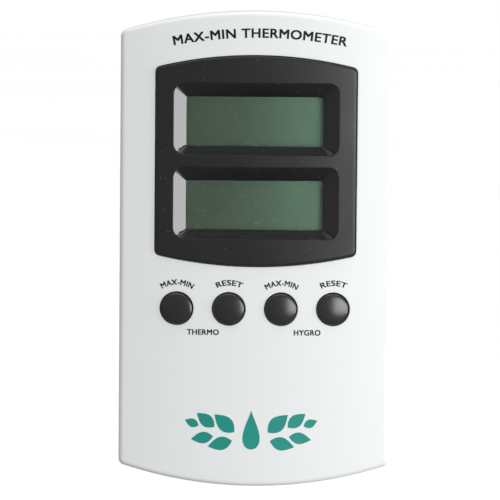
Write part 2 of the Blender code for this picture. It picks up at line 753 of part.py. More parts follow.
def keyhole_bore_shape():
    """The wide end that the nail's head goes through, below the slot that the nail hangs in."""
    shape = bmesh.new()
    add_rod(shape, (0.0, -LOWER_BACK_WALL, KEYHOLE_Z), (0.0, OVERCUT, KEYHOLE_Z), KEYHOLE_RADIUS)
    return shape


def make_bezel(workshop):
    outline = bezel_outline()
    plug = barrel_shape(outline, front_face(-BEZEL_PROUD), PLUG_BACK, BEZEL_RIM)
    bezel = workshop.part("display_bezel", plug, "dark_bezel")
    flange = barrel_shape(grown(outline, BEZEL_FLANGE), front_face(FRONT_WALL + GAP), BEZEL_BACK)
    combine(bezel, workshop.tool("bezel_flange", flange), "UNION")
    spots = mirrored(UPPER_BOARD_SCREWS)
    posts = rods_shape(spots, PLUG_BACK, BOARD_FRONT - GAP, BOARD_POST_RADIUS, SMALL_STEPS)
    combine(bezel, workshop.tool("bezel_posts", posts), "UNION")
    pilot_end = BOARD_FRONT - BOARD_SCREW_SHANK[1]
    pilots = rods_shape(spots, pilot_end, BOARD_FRONT + OVERCUT, BOARD_PILOT_RADIUS, SMALL_STEPS)
    combine(bezel, workshop.tool("bezel_pilots", pilots), "DIFFERENCE")
    pockets = bmesh.new()
    for height in WINDOW_HEIGHTS.values():
        low = (-POCKET_WIDTH / 2, POCKET_FRONT, height - POCKET_HEIGHT / 2)
        add_box(pockets, low, (POCKET_WIDTH / 2, BEZEL_BACK + OVERCUT, height + POCKET_HEIGHT / 2))
    combine(bezel, workshop.tool("display_pockets", pockets), "DIFFERENCE")
    for level, height in WINDOW_HEIGHTS.items():
        combine(bezel, workshop.tool(f"{level}_window", window_shape(height)), "DIFFERENCE")


def make_display(workshop):
    half_width = POCKET_WIDTH / 2 - GAP
    half_height = POCKET_HEIGHT / 2 - GAP
    lens_front = POCKET_FRONT + GAP
    glass_front = lens_front + LENS_THICKNESS + GAP
    glass_back = glass_front + GLASS_THICKNESS
    glass_middle = glass_front + GLASS_THICKNESS / 2
    for level, height in WINDOW_HEIGHTS.items():
        low = height - half_height
        high = height + half_height
        lens = box_shape(
            ((-half_width, lens_front, low), (half_width, lens_front + LENS_THICKNESS, high))
        )
        workshop.part(f"{level}_lens", lens, "lens_clear")
        sheet = box_shape(((-half_width, glass_front, low), (half_width, glass_middle, high)))
        panel = workshop.part(f"{level}_lcd", sheet, "lcd_glass")
        back_sheet = box_shape(
            (
                (-half_width + GAP, glass_middle - GAP, low + GLASS_LEDGE),
                (half_width - GAP, glass_back, high - GAP),
            )
        )
        combine(panel, workshop.tool(f"{level}_back_sheet", back_sheet), "UNION")
        strip_low = low + GAP
        strip = box_shape(
            (
                (-STRIP_LENGTH / 2, glass_middle + GAP, strip_low),
                (STRIP_LENGTH / 2, BOARD_FRONT - GAP, strip_low + STRIP_WIDTH),
            )
        )
        workshop.part(f"{level}_contact_strip", strip, "zebra_rubber")
    make_holder(workshop)


def make_holder(workshop):
    top = WINDOW_HEIGHTS["upper"] + POCKET_HEIGHT / 2 + HOLDER_MARGIN
    bottom = WINDOW_HEIGHTS["lower"] - POCKET_HEIGHT / 2 - HOLDER_MARGIN
    front = BEZEL_BACK + GAP
    back = BOARD_FRONT - GAP
    plate = box_shape(((-HOLDER_WIDTH / 2, front, bottom), (HOLDER_WIDTH / 2, back, top)))
    holder = workshop.part("display_holder", plate, "holder_plastic")
    openings = bmesh.new()
    for height in WINDOW_HEIGHTS.values():
        low = (-POCKET_WIDTH / 2, front - OVERCUT, height - POCKET_HEIGHT / 2)
        add_box(openings, low, (POCKET_WIDTH / 2, back + OVERCUT, height + POCKET_HEIGHT / 2))
    combine(holder, workshop.tool("holder_openings", openings), "DIFFERENCE")


def make_board(workshop):
    back = BOARD_FRONT + BOARD_THICKNESS
    plate = box_shape(
        ((-BOARD_HALF_WIDTH, BOARD_FRONT, BOARD_BOTTOM), (BOARD_HALF_WIDTH, back, BOARD_TOP))
    )
    upright = [edge for edge in plate.edges if is_corner(edge, BOARD_HALF_WIDTH)]
    round_edges(plate, upright, BOARD_CORNER, CORNER_STEPS)
    board = workshop.part("main_board", plate, "board_green")
    spots = mirrored(UPPER_BOARD_SCREWS) + mirrored(LOWER_BOARD_SCREWS)
    holes = rods_shape(spots, BOARD_FRONT - OVERCUT, back + OVERCUT, BOARD_PILOT_RADIUS, SMALL_STEPS)
    combine(board, workshop.tool("board_holes", holes), "DIFFERENCE")

    seat = back + GAP
    for index, (spot, side) in enumerate(zip(spots, ("left", "right", "left", "right"))):
        level = "upper" if index < 2 else "lower"
        make_screw(workshop, f"board_screw_{level}_{side}", spot, seat, BOARD_SCREW_HEAD, BOARD_SCREW_SHANK)
    for circuit, height in CHIP_HEIGHTS.items():
        make_chip_and_crystal(workshop, circuit, seat, height)


def make_chip_and_crystal(workshop, circuit, seat, height):
    """A drop of black resin over a bonded chip, and the crystal can that lies beside it."""
    dome = [dome_point(CHIP_RADIUS, CHIP_HEIGHT, step / DOME_STEPS) for step in range(DOME_STEPS + 1)]
    profile = dome + [(0.0, 0.0)]
    turned(workshop, f"{circuit}_chip", profile, "chip_epoxy", (CHIP_X, seat, height), TOWARDS_BACK)
    can = bmesh.new()
    start, end = [(x, seat + CRYSTAL_RADIUS, height) for x in CRYSTAL_X]
    add_rod(can, start, end, CRYSTAL_RADIUS, steps=SMALL_STEPS)
    workshop.part(f"{circuit}_crystal", can, "tin_steel")


def dome_point(radius, height, share):
    """A point on a flattened dome's profile, from its top at 0 to its foot at 1."""
    angle = math.radians(90.0) * share
    return radius * math.sin(angle), height * math.cos(angle)


def make_screw(workshop, name, spot, seat, head, shank, recess=False):
    """A pan head screw driven from the back, whose head rests on y = seat."""
    head_radius, head_height = head
    shank_radius, shank_length = shank
    profile = [
        (0.0, head_height),
        (0.7 * head_radius, 0.93 * head_height),
        (0.95 * head_radius, 0.65 * head_height),
        (head_radius, 0.0),
        (shank_radius, 0.0),
        (shank_radius, -shank_length + shank_radius),
        (0.0, -shank_length),
    ]
    x, z = spot
    screw = turned(workshop, name, profile, "screw_zinc", (x, seat, z), TOWARDS_BACK, SMALL_STEPS)
    if recess:
        arm = 0.6 * head_radius
        slit = 0.14 * head_radius
        floor = seat + 0.35 * head_height
        top = seat + head_height + OVERCUT
        cross = box_shape(((x - arm, floor, z - slit), (x + arm, top, z + slit)))
        combine(screw, workshop.tool(f"{name}_slot_across", cross), "DIFFERENCE")
        upright = box_shape(((x - slit, floor, z - arm), (x + slit, top, z + arm)))
        combine(screw, workshop.tool(f"{name}_slot_upright", upright), "DIFFERENCE")


def make_case_screws(workshop):
    spots = mirrored(CASE_SCREWS_UPPER) + mirrored(CASE_SCREWS_LOWER)
    places = ("upper_left", "upper_right", "lower_left", "lower_right")
    for place, spot in zip(places, spots):
        seat = COUNTERBORE_END + GAP
        name = f"case_screw_{place}"
        make_screw(workshop, name, spot, seat, CASE_SCREW_HEAD, CASE_SCREW_SHANK, recess=True)


def button_places():
    return [(index - 1.5) * BUTTON_PITCH for index in range(len(BUTTON_NAMES))]


def make_buttons(workshop):
    for name, x in zip(BUTTON_NAMES, button_places()):
        make_button(workshop, name, x)
        make_push_switch(workshop, name, x)


def make_button(workshop, name, x):
    """A domed cap whose flange keeps it behind the front wall, and whose stem meets the plunger."""
    face = face_y(front_face(), x)
    flange_reach = abs(x) + BUTTON_FLANGE_RADIUS
    flange_front = face_y(front_face(FRONT_WALL), flange_reach) + GAP
    shoulder = BUTTON_SHOULDER_PROUD
    flange_top = face - flange_front
    flange_low = flange_top - BUTTON_FLANGE
    crown = (BUTTON_RADIUS - BUTTON_EDGE, BUTTON_DOME - BUTTON_EDGE)
    dome = [dome_point(*crown, step / DOME_STEPS) for step in range(DOME_STEPS + 1)]
    profile = [(radius, shoulder + BUTTON_EDGE + height) for radius, height in dome]
    profile += [
        (BUTTON_RADIUS, shoulder),
        (BUTTON_RADIUS, flange_top),
        (BUTTON_FLANGE_RADIUS, flange_top),
        (BUTTON_FLANGE_RADIUS, flange_low),
        (BUTTON_STEM_RADIUS, flange_low),
        (BUTTON_STEM_RADIUS, face - STEM_END),
        (0.0, face - STEM_END),
    ]
    place = (x, face, BUTTON_HEIGHT)
    turned(workshop, f"{name}_button", profile, "button_grey", place, TOWARDS_FRONT)


def make_push_switch(workshop, name, x):
    half = SWITCH_SIDE / 2
    low = (x - half, SWITCH_FRONT, BUTTON_HEIGHT - half)
    high = (x + half, BOARD_FRONT - GAP, BUTTON_HEIGHT + half)
    body = workshop.part(f"{name}_switch", box_shape((low, high)), "switch_plastic")
    bore = bmesh.new()
    add_rod(
        bore,
        (x, SWITCH_FRONT - OVERCUT, BUTTON_HEIGHT),
        (x, SWITCH_BORE_END - GAP, BUTTON_HEIGHT),
        SWITCH_BORE_RADIUS,
        steps=SMALL_STEPS,
    )
    combine(body, workshop.tool(f"{name}_switch_bore", bore), "DIFFERENCE")
    length = PLUNGER_BACK - PLUNGER_FRONT
    profile = [
        (0.0, 0.0),
        (PLUNGER_RADIUS - PLUNGER_EDGE, 0.0),
        (PLUNGER_RADIUS, -PLUNGER_EDGE),
        (PLUNGER_RADIUS, -length),
        (0.0, -length),
    ]
    place = (x, PLUNGER_FRONT, BUTTON_HEIGHT)
    turned(workshop, f"{name}_plunger", profile, "switch_plastic", place, TOWARDS_FRONT, SMALL_STEPS)


def make_sensors(workshop):
    """The humidity plate and the thermistor bead, on stiff leads just inside the vents."""
    seat = BOARD_FRONT + BOARD_THICKNESS + GAP
    width, thickness, height = SENSOR_PLATE
    middle_y = SENSOR_PLATE_FRONT + thickness / 2
    bottom = VENT_Z - SENSOR_PLATE_BELOW_VENTS
    plate = box_shape(
        (
            (VENT_X - width / 2, SENSOR_PLATE_FRONT, bottom),
            (VENT_X + width / 2, SENSOR_PLATE_FRONT + thickness, bottom + height),
        )
    )
    sensor = workshop.part("humidity_sensor", plate, "sensor_white")
    spots = [(VENT_X + side * SENSOR_LEAD_SPREAD, bottom + thickness) for side in (-1, 1)]
    leads = rods_shape(spots, seat, middle_y, LEAD_RADIUS, LEAD_STEPS)
    combine(sensor, workshop.tool("humidity_sensor_leads", leads), "UNION")

    bead_centre = Vector((VENT_X, middle_y, VENT_Z + THERMISTOR_ABOVE_VENTS))
    bead = bmesh.new()
    bmesh.ops.create_uvsphere(
        bead,
        u_segments=SMALL_STEPS,
        v_segments=LEAD_STEPS,
        radius=THERMISTOR_RADIUS,
        matrix=Matrix.Translation(bead_centre),
    )
    thermistor = workshop.part("thermistor", bead, "thermistor_black")
    spots = [(VENT_X + side * THERMISTOR_LEAD_SPREAD, bead_centre.z) for side in (-1, 1)]
    leads = rods_shape(spots, seat, middle_y, LEAD_RADIUS, LEAD_STEPS)
    combine(thermistor, workshop.tool("thermistor_leads", leads), "UNION")


def make_unit_switch(workshop):
    """A slide switch on the back of the board, whose knob shows in the rear cover's window."""
    seat = BOARD_FRONT + BOARD_THICKNESS + GAP
    body_back = seat + SLIDE_BODY[1]
    low = (SWITCH_X - SLIDE_BODY[0] / 2, seat, SWITCH_Z - SLIDE_BODY[2] / 2)
    high = (SWITCH_X + SLIDE_BODY[0] / 2, body_back, SWITCH_Z + SLIDE_BODY[2] / 2)
    body = workshop.part("unit_switch_body", box_shape((low, high)), "tin_steel")
    slot_low = (SWITCH_X - SLIDE_SLOT[0] / 2, body_back - SLIDE_SLOT[1], SWITCH_Z - SLIDE_SLOT[2] / 2)
    slot_high = (SWITCH_X + SLIDE_SLOT[0] / 2, body_back + OVERCUT, SWITCH_Z + SLIDE_SLOT[2] / 2)
    combine(body, workshop.tool("unit_switch_slot", box_shape((slot_low, slot_high))), "DIFFERENCE")

    knob_start = Vector((SWITCH_X, body_back - SLIDE_SLOT[1] + GAP, SWITCH_Z - SWITCH_TRAVEL / 2))
    neck_top = -2 * BACK_WALL - knob_start.y
    foot = box_shape(
        (
            (-KNOB_FOOT[0] / 2, 0.0, -KNOB_FOOT[1] / 2),
            (KNOB_FOOT[0] / 2, neck_top + GAP, KNOB_FOOT[1] / 2),
        )
    )
    knob = workshop.part("unit_switch_knob", foot, "switch_plastic", knob_start)
    grip = box_shape(
        (
            (-KNOB_GRIP[0] / 2, neck_top, -KNOB_GRIP[1] / 2),
            (KNOB_GRIP[0] / 2, KNOB_BACK - knob_start.y, KNOB_GRIP[1] / 2),
        )
    )
    combine(knob, workshop.tool("unit_switch_grip", grip, knob_start), "UNION")
    groove_width, groove_depth = KNOB_GROOVE
    grooves = bmesh.new()
    for index in (-1, 0, 1):
        z = index * KNOB_GROOVE_PITCH
        low = (-KNOB_GRIP[0], KNOB_BACK - knob_start.y - groove_depth, z - groove_width / 2)
        add_box(grooves, low, (KNOB_GRIP[0], OVERCUT - knob_start.y, z + groove_width / 2))
    combine(knob, workshop.tool("unit_switch_grooves", grooves, knob_start), "DIFFERENCE")


def make_battery(workshop):
    body_length = CELL_LENGTH - NUB_LENGTH
    profile = [
        (0.0, CELL_LENGTH),
        (NUB_RADIUS - CELL_EDGE / 2, CELL_LENGTH),
        (NUB_RADIUS, CELL_LENGTH - CELL_EDGE / 2),
        (NUB_RADIUS, body_length),
        (CELL_RADIUS - CELL_EDGE, body_length),
        (CELL_RADIUS, body_length - CELL_EDGE),
        (CELL_RADIUS, CELL_EDGE),
        (CELL_RADIUS - CELL_EDGE, 0.0),
        (0.0, 0.0),
    ]
    turned(workshop, "battery_cell", profile, "cell_jacket", (CELL_LEFT, CELL_Y, CELL_Z), TOWARDS_RIGHT)
    for name, side in (("positive_contact", 1), ("negative_contact", -1)):
        middle = side * contact_x()
        low = (middle - CONTACT_THICKNESS / 2, CELL_Y - CONTACT_HALF_WIDTH, CELL_Z - BAY_HALF_HEIGHT + GAP)
        high = (middle + CONTACT_THICKNESS / 2, CELL_Y + CONTACT_HALF_WIDTH, CONTACT_TOP)
        plate = workshop.part(name, box_shape((low, high)), "nickel_steel")
        if side < 0:
            combine(plate, workshop.tool("contact_spring", contact_spring_shape()), "UNION")
    make_battery_wires(workshop)


def contact_spring_shape():
    """The conical spring that pushes on the flat end of the cell."""
    points = []
    total = SPRING_TURNS * SPRING_STEPS_PER_TURN
    start_x = -contact_x() + CONTACT_THICKNESS / 2
    for step in range(total + 1):
        share = step / total
        angle = 2 * math.pi * SPRING_TURNS * share
        radius = SPRING_WIDE + (SPRING_NARROW - SPRING_WIDE) * share
        x = start_x + SPRING_LENGTH * share
        points.append((x, CELL_Y + radius * math.cos(angle), CELL_Z + radius * math.sin(angle)))
    return tube_shape("contact_spring_wire", points, SPRING_WIRE / 2)


def make_battery_wires(workshop):
    """The two leads, from the contacts' tabs round the lower bosses to the foot of the board."""
    board_back = BOARD_FRONT + BOARD_THICKNESS
    tab_side = contact_x() - CONTACT_THICKNESS / 2 - GAP
    tab_z = CONTACT_TOP - WIRE_TAB_DROP
    riser_y = CELL_Y + WIRE_RISER_SETBACK
    joint_z = BOARD_BOTTOM + WIRE_JOINT_HEIGHT
    bend_x, bend_y, bend_z = WIRE_BEND
    for name, side in (("red", 1), ("black", -1)):
        riser_x = side * WIRE_RISER_X
        route = [
            (side * tab_side, CELL_Y, tab_z),
            (side * (tab_side - WIRE_TAB_RUN), CELL_Y, tab_z),
            (side * (WIRE_RISER_X + bend_x), CELL_Y + bend_y, tab_z + bend_z),
            (riser_x, riser_y, tab_z + WIRE_RISER_START),
            (riser_x, riser_y, BOARD_BOTTOM + WIRE_RISER_END),
            (riser_x, board_back + 6 * GAP, joint_z),
            (riser_x, board_back + 2 * GAP, joint_z),
        ]
        wire = tube_shape(f"{name}_wire_path", smooth_route(route, WIRE_STEPS), WIRE_RADIUS)
        workshop.part(f"{name}_battery_wire", wire, f"{name}_wire")


def make_battery_door(workshop):
    """A door that follows the case's bottom edge and slides down on a tongue at each side."""
    outline = case_outline()
    block = barrel_shape(outline, flat_at(0.0), -DOOR_THICKNESS, BACK_RIM)
    door = workshop.part("battery_door", block, "white_case")
    low = (-DOOR_HALF_WIDTH, -DOOR_THICKNESS - OVERCUT, -CASE_HEIGHT / 2 - OVERCUT)
    keep = box_shape((low, (DOOR_HALF_WIDTH, OVERCUT, DOOR_TOP)))
    combine(door, workshop.tool("door_keep", keep), "INTERSECT")
    tongue_reach = DOOR_HALF_WIDTH + DOOR_TONGUE - GAP
    tongue_bottom = -CASE_HEIGHT / 2 + sagitta(tongue_reach, END_RADIUS) + BACK_RIM
    tongues = bmesh.new()
    for side in (-1, 1):
        near = side * (DOOR_HALF_WIDTH - GAP)
        far = side * tongue_reach
        low = (min(near, far), DOOR_TONGUE_FRONT + GAP / 3, tongue_bottom)
        add_box(tongues, low, (max(near, far), DOOR_TONGUE_BACK, DOOR_TOP - GAP))
    combine(door, workshop.tool("door_tongues", tongues), "UNION")
    grooves = bmesh.new()
    for index in range(GRIP_GROOVES):
        z = DOOR_TOP - (index + 2) * GRIP_PITCH
        low = (-GRIP_HALF_WIDTH, -GRIP_DEPTH, z - GRIP_PITCH / 4)
        add_box(grooves, low, (GRIP_HALF_WIDTH, OVERCUT, z + GRIP_PITCH / 4))
    combine(door, workshop.tool("door_grip", grooves), "DIFFERENCE")


def make_stand(workshop):
    """The leg, folded up into its well, with a round root and a pin at each end of it."""
    place = (0.0, STAND_AXIS_Y, STAND_AXIS_Z)
    half = STAND_WIDTH / 2
    leaf = box_shape(((-half, STAND_FACE - STAND_THICKNESS, 0.0), (half, STAND_FACE, STAND_LENGTH)))
    tip = [edge for edge in leaf.edges if is_tip(edge)]
    round_edges(leaf, tip, STAND_CORNER, CORNER_STEPS + 1)
    stand = workshop.part("stand", leaf, "white_case", place)
    root = bmesh.new()
    add_rod(root, (-half, 0.0, 0.0), (half, 0.0, 0.0), STAND_BARREL)
    combine(stand, workshop.tool("stand_root", root, place), "UNION")
    pins = bmesh.new()
    reach = half + STAND_PIN_LENGTH
    add_rod(pins, (-reach, 0.0, 0.0), (reach, 0.0, 0.0), STAND_PIN_RADIUS, steps=SMALL_STEPS)
    combine(stand, workshop.tool("stand_pins", pins, place), "UNION")
    grooves = bmesh.new()
    for index in range(STAND_GROOVES):
        z = STAND_LENGTH - (index + 2) * GRIP_PITCH
        low = (-GRIP_HALF_WIDTH, STAND_FACE - GRIP_DEPTH, z - GRIP_PITCH / 4)
        add_box(grooves, low, (GRIP_HALF_WIDTH, STAND_FACE + OVERCUT, z + GRIP_PITCH / 4))
    combine(stand, workshop.tool("stand_grip", grooves, place), "DIFFERENCE")


def is_tip(edge):
    """Whether an edge runs through the stand's thickness at its free end."""
    first, second = (vert.co for vert in edge.verts)
    across = abs(first.x - second.x) < GAP and abs(first.z - second.z) < GAP
    return across and first.z > STAND_LENGTH - GAP


def main():
    clear_scene()
    workshop = Workshop()
    make_front_cover(workshop)
    make_rear_cover(workshop)
    make_bezel(workshop)
    make_display(workshop)
    make_board(workshop)
    make_buttons(workshop)
    make_sensors(workshop)
    make_unit_switch(workshop)
    make_battery(workshop)
    make_battery_door(workshop)
    make_stand(workshop)
    make_case_screws(workshop)


main()
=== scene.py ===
"""The looks of a digital maximum and minimum thermometer: fine meshes, finishes, print, light and camera.

The front faces -Y, +X is to the right seen from the front, and +Z is up. Meshes are made in a frame
whose origin is on the flat back at the middle of the case's height, and then moved to the CAD frame.
"""

import json
import math
from collections import namedtuple

import bmesh
import bpy
from mathutils import Matrix, Vector, geometry


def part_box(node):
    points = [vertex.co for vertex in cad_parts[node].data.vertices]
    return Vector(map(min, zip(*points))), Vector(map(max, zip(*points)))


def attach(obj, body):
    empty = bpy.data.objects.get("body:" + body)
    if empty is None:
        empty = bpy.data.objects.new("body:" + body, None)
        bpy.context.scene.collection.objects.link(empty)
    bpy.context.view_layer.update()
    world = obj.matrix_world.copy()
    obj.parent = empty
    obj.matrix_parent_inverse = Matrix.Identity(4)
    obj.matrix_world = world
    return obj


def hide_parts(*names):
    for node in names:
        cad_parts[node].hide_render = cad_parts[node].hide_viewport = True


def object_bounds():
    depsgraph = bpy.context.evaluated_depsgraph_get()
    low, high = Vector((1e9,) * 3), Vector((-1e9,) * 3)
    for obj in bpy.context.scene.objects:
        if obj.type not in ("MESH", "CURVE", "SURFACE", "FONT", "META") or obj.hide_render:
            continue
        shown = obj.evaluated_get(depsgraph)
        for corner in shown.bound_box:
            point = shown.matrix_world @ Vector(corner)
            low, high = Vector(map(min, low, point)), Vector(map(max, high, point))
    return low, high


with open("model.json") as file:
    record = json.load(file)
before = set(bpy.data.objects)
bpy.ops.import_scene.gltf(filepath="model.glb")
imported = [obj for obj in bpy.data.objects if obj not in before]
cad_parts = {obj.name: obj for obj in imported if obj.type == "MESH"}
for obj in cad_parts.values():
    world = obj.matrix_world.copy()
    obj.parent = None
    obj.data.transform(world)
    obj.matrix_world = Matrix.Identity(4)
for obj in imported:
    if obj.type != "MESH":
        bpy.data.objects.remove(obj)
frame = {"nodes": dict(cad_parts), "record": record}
CAD_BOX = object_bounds()

MM = 0.001


def box_middle(node):
    low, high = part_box(node)
    return (low + high) / 2


# Places read off the CAD nodes
CASE_LOW, CASE_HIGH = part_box("front_cover")
CASE_MIDDLE = Vector((0.0, 0.0, (CASE_LOW.z + CASE_HIGH.z) / 2))
CASE_FRONT = CASE_LOW.y
CASE_HALF_WIDTH = CASE_HIGH.x
CASE_HALF_HEIGHT = (CASE_HIGH.z - CASE_LOW.z) / 2
PARTING_Y = CASE_HIGH.y
BEZEL_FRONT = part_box("display_bezel")[0].y
WINDOWS = {level: box_middle(f"{level}_lens").z - CASE_MIDDLE.z for level in ("upper", "lower")}
BUTTONS = ("thermo_max_min", "thermo_reset", "hygro_max_min", "hygro_reset")
BUTTON_X = {name: box_middle(f"{name}_button").x for name in BUTTONS}
BUTTON_Z = box_middle("thermo_reset_button").z - CASE_MIDDLE.z

# Case
FACE_RADIUS = 180.0 * MM
END_RADIUS = 105.5 * MM
CASE_CORNER = 1.5 * MM
CASE_RIM = 1.0 * MM
SEAM_EDGE = 0.25 * MM
FRONT_WALL = 2.0 * MM
SIDE_WALL = 1.4 * MM
LIP_WALL = 0.9 * MM
LIP_STEP = 1.7 * MM
HOLE_EDGE = 0.14 * MM
BUTTON_HOLE_RADIUS = 3.9 * MM
BEZEL_SEAM = 0.2 * MM

# Bezel
BEZEL_HALF_WIDTH = 23.15 * MM
BEZEL_TOP = 44.8 * MM
BEZEL_BOTTOM = -3.75 * MM
BEZEL_TOP_RADIUS = 94.0 * MM
BEZEL_BOTTOM_RADIUS = 104.0 * MM
BEZEL_CORNER = 1.2 * MM
BEZEL_RIM = 0.45 * MM
BEZEL_FLANGE = 1.2 * MM
BEZEL_BACK = -14.6 * MM
WINDOW_SIZE = (38.0 * MM, 16.6 * MM)
WINDOW_CORNER = 2.6 * MM
WINDOW_EDGE = 0.22 * MM
BEVEL_LEFT = 2.95 * MM
BEVEL_RIGHT = 3.45 * MM
BEVEL_TOP = 3.2 * MM
BEVEL_BOTTOM = 1.9 * MM
VIEW_CORNER = 0.6 * MM
VIEW_EDGE = 0.14 * MM
VIEW_Y = -17.5 * MM
POCKET_SIZE = (36.6 * MM, 16.1 * MM)
POCKET_FRONT = -17.0 * MM

# Buttons
BUTTON_RADIUS = 3.65 * MM
BUTTON_PROUD = 0.85 * MM
BUTTON_CROWN = 0.27 * MM
BUTTON_ROUND = 0.55 * MM
BUTTON_FLANGE_RADIUS = 4.7 * MM
BUTTON_FLANGE = 0.7 * MM
BUTTON_STEM_RADIUS = 1.6 * MM
STEM_END = -15.2 * MM

# Print
INK_THICKNESS = 0.03 * MM
INK_SUNK = 0.01 * MM
FLAT_HALF = 0.1
TEXT_WEIGHT = 0.027
TEXT_SPACING = 1.08
TEXT_STEPS = 5
TEXT_LAYER = 1 / 8
TEXT_WELD = 1e-4
CAPITAL_HEIGHT = 0.70
TITLE_BASE = 49.05 * MM
TITLE_MIDDLE = 0.75 * MM
TITLE_RADIUS = 104.0 * MM
TITLE_WIDTH = 40.0 * MM
TITLE_HEIGHT = 2.1 * MM
LABEL_BASE = 5.48 * MM
LABEL_RADIUS = 6.53 * MM
LABEL_SHIFT = 0.12 * MM
LABEL_HEIGHT = 1.25 * MM
LABEL_DROP = 6.05 * MM
LABEL_WIDTHS = {"MAX-MIN": 7.2 * MM, "RESET": 5.75 * MM, "THERMO": 7.4 * MM, "HYGRO": 6.2 * MM}

# Emblem: a row of leaves on each side of a drop. A leaf is its root, length, half width and angle,
# in millimetres and degrees.
EMBLEM_PLACE = (-0.6 * MM, -41.8 * MM)
DROP_SIZE = (2.9 * MM, 4.6 * MM)
LEAVES = (
    ((3.9, -0.6), 6.2, 1.75, 42.0),
    ((4.4, -2.6), 5.8, 1.55, -14.0),
    ((8.5, 0.6), 5.2, 1.45, 38.0),
    ((8.8, -1.6), 5.2, 1.35, -8.0),
    ((12.2, 0.9), 3.4, 1.0, 22.0),
)
LEAF_STEPS = 14
LEAF_SKEW = 0.85
DROP_STEPS = 42
DROP_NARROWING = 1.6

# Panel, board, cell and other colours with more than one shade
LCD_LEFT = (0.005, 0.022, 0.007)
# The panel's right-end colour is painted light: lighter than its left end, it stands in for the lamps'
# reflection on the panel.
LCD_PAINTED_SHEEN = (0.055, 0.122, 0.076)
LCD_GRAIN = (0.050, 0.095, 0.055)
LCD_PATCH = (0.050, 0.066, 0.040)
DUST = (0.40, 0.46, 0.42)
# How far either side of the panel's middle the painted reflection fades in.
PAINTED_SHEEN_FADE = 14.0 * MM
BOARD_MASK = (0.012, 0.12, 0.045)
BOARD_TRACK = (0.04, 0.24, 0.07)
TRACK_SCALE = 120.0
TRACK_WIDTH = 0.035
SLEEVE_DARK = (0.02, 0.03, 0.05)
SLEEVE_COPPER = (0.55, 0.25, 0.08)
CELL_METAL = (0.62, 0.61, 0.58)
CELL_BAND = 13.0 * MM
CELL_NUB = 1.3 * MM
CELL_TAIL = 0.4 * MM
CELL_EDGE = 0.05 * MM
RUBBER_PINK = (0.50, 0.16, 0.18)
RUBBER_BLACK = (0.03, 0.03, 0.03)
LAYER_SCALE = 900.0
LENS_INDEX = 1.35
LENS_SHADOW = (0.93, 0.95, 0.94)

# Noise: the sizes of slow changes, and the parts of the noise's range that are used
COLOUR_WAVE = 14.0 * MM
GLOSS_WAVE = 16.0 * MM
SINK_WAVE = 18.0 * MM
NOISE_SPAN = (0.2, 0.8)
GRAIN_SPAN = (0.3, 0.7)
LEAST_ROUGHNESS = 0.02
COAT_ROUGHNESS = 0.08

# Dust: the spacing and the patches are in sizes of a speck
SPECK_SPACING = 9
SPECK_PATCH = 14
SPECK_EDGE = (0.04, 0.10)
SPECK_RARITY = (0.56, 0.64)
CASE_DUST = 0.16 * MM
PANEL_DUST = 0.15 * MM

# Fineness
RIM_STEPS = 7
EDGE_STEPS = 4
ARC_STEPS = 72
SIDE_STEPS = 10
CORNER_STEPS = 8
ROUND_STEPS = 72
SUPPORT = 0.35 * MM
FIELD_PITCH = (1.6 * MM, 4.0 * MM)
CASE_MARGIN = 1.9 * MM
BEZEL_MARGIN = 1.1 * MM
LONG_SIDE = 20.0 * MM
WELD_DISTANCE = 0.002 * MM
CUT_TOLERANCE = 1e-5
WHOLE_HULL = 0
SHARP_ANGLE = 35.0
BEZEL_SHARP_ANGLE = 28.0
CROWN_STEPS = 10

# Edges of the CAD nodes that stay
ROUNDED_EDGES = {"rear_cover": 0.22 * MM, "battery_door": 0.20 * MM, "stand": 0.30 * MM}
ROUNDED_STEPS = 3
ROUNDED_ANGLE = math.radians(35.0)
FLAT_ANGLE = math.radians(0.3)
SMOOTH_ANGLE = math.radians(32.0)

# Camera
TARGET = Vector((-1.20, -19.0, -0.06)) * MM
CAMERA_DISTANCE = 0.9
CAMERA_AZIMUTH = math.radians(-0.434)
CAMERA_ELEVATION = math.radians(4.441)
CAMERA_ROLL = math.radians(0.496)
CAMERA_LENS = 280.2
SENSOR_WIDTH = 36.0

# Light: a softbox is its place, size and power
SKY_LEVEL = 0.48
SKY_SLOPE = (0.12, 0.0, 0.18)
SOFTBOXES = {
    "side_softbox": ((0.556, -0.245, -0.07), (0.24, 0.32), 2.45),
    "front_softbox": ((0.375, -0.645, -0.03), (0.38, 0.30), 2.65),
}
OVERHEAD_STRENGTH = 1.7
OVERHEAD_SPREAD = math.radians(60.0)
FLOOR_HALF_SIZE = 6.0
FLOOR_BELOW = 30.0 * MM

# Places in a piece's list of materials, and the colour sockets of a Mix node
POLISHED = 1
MIX_COLOURS = (6, 7)
MIX_RESULT = 2

Edge = namedtuple("Edge", "x z out_x out_z")


# ---------------------------------------------------------------- outlines

def barrel_outline(half_width, top, bottom, top_radius, bottom_radius, corner):
    """Straight sides, arched ends and round corners, as edge points with their outward directions.

    The lower end is turned the other way round, so that the points run round the outline in order.
    """
    edges = []
    for side, arch, radius in ((1, top, top_radius), (-1, bottom, bottom_radius)):
        centre_z = arch - side * radius
        corner_x = half_width - corner
        rise = math.sqrt((radius - corner) ** 2 - corner_x ** 2)
        corner_z = centre_z + side * rise
        lean = math.atan2(rise, corner_x)
        end = []
        for step in range(CORNER_STEPS):
            angle = lean * step / CORNER_STEPS
            end.append(turned_edge(corner_x, corner_z, corner, angle, side))
        for step in range(ARC_STEPS + 1):
            angle = lean + (math.pi - 2 * lean) * step / ARC_STEPS
            end.append(turned_edge(0.0, centre_z, radius, angle, side))
        for step in range(CORNER_STEPS):
            angle = math.pi - lean + lean * (step + 1) / CORNER_STEPS
            end.append(turned_edge(-corner_x, corner_z, corner, angle, side))
        if side < 0:
            end = [Edge(-edge.x, edge.z, -edge.out_x, edge.out_z) for edge in end]
        edges += end
    return with_side_points(edges)


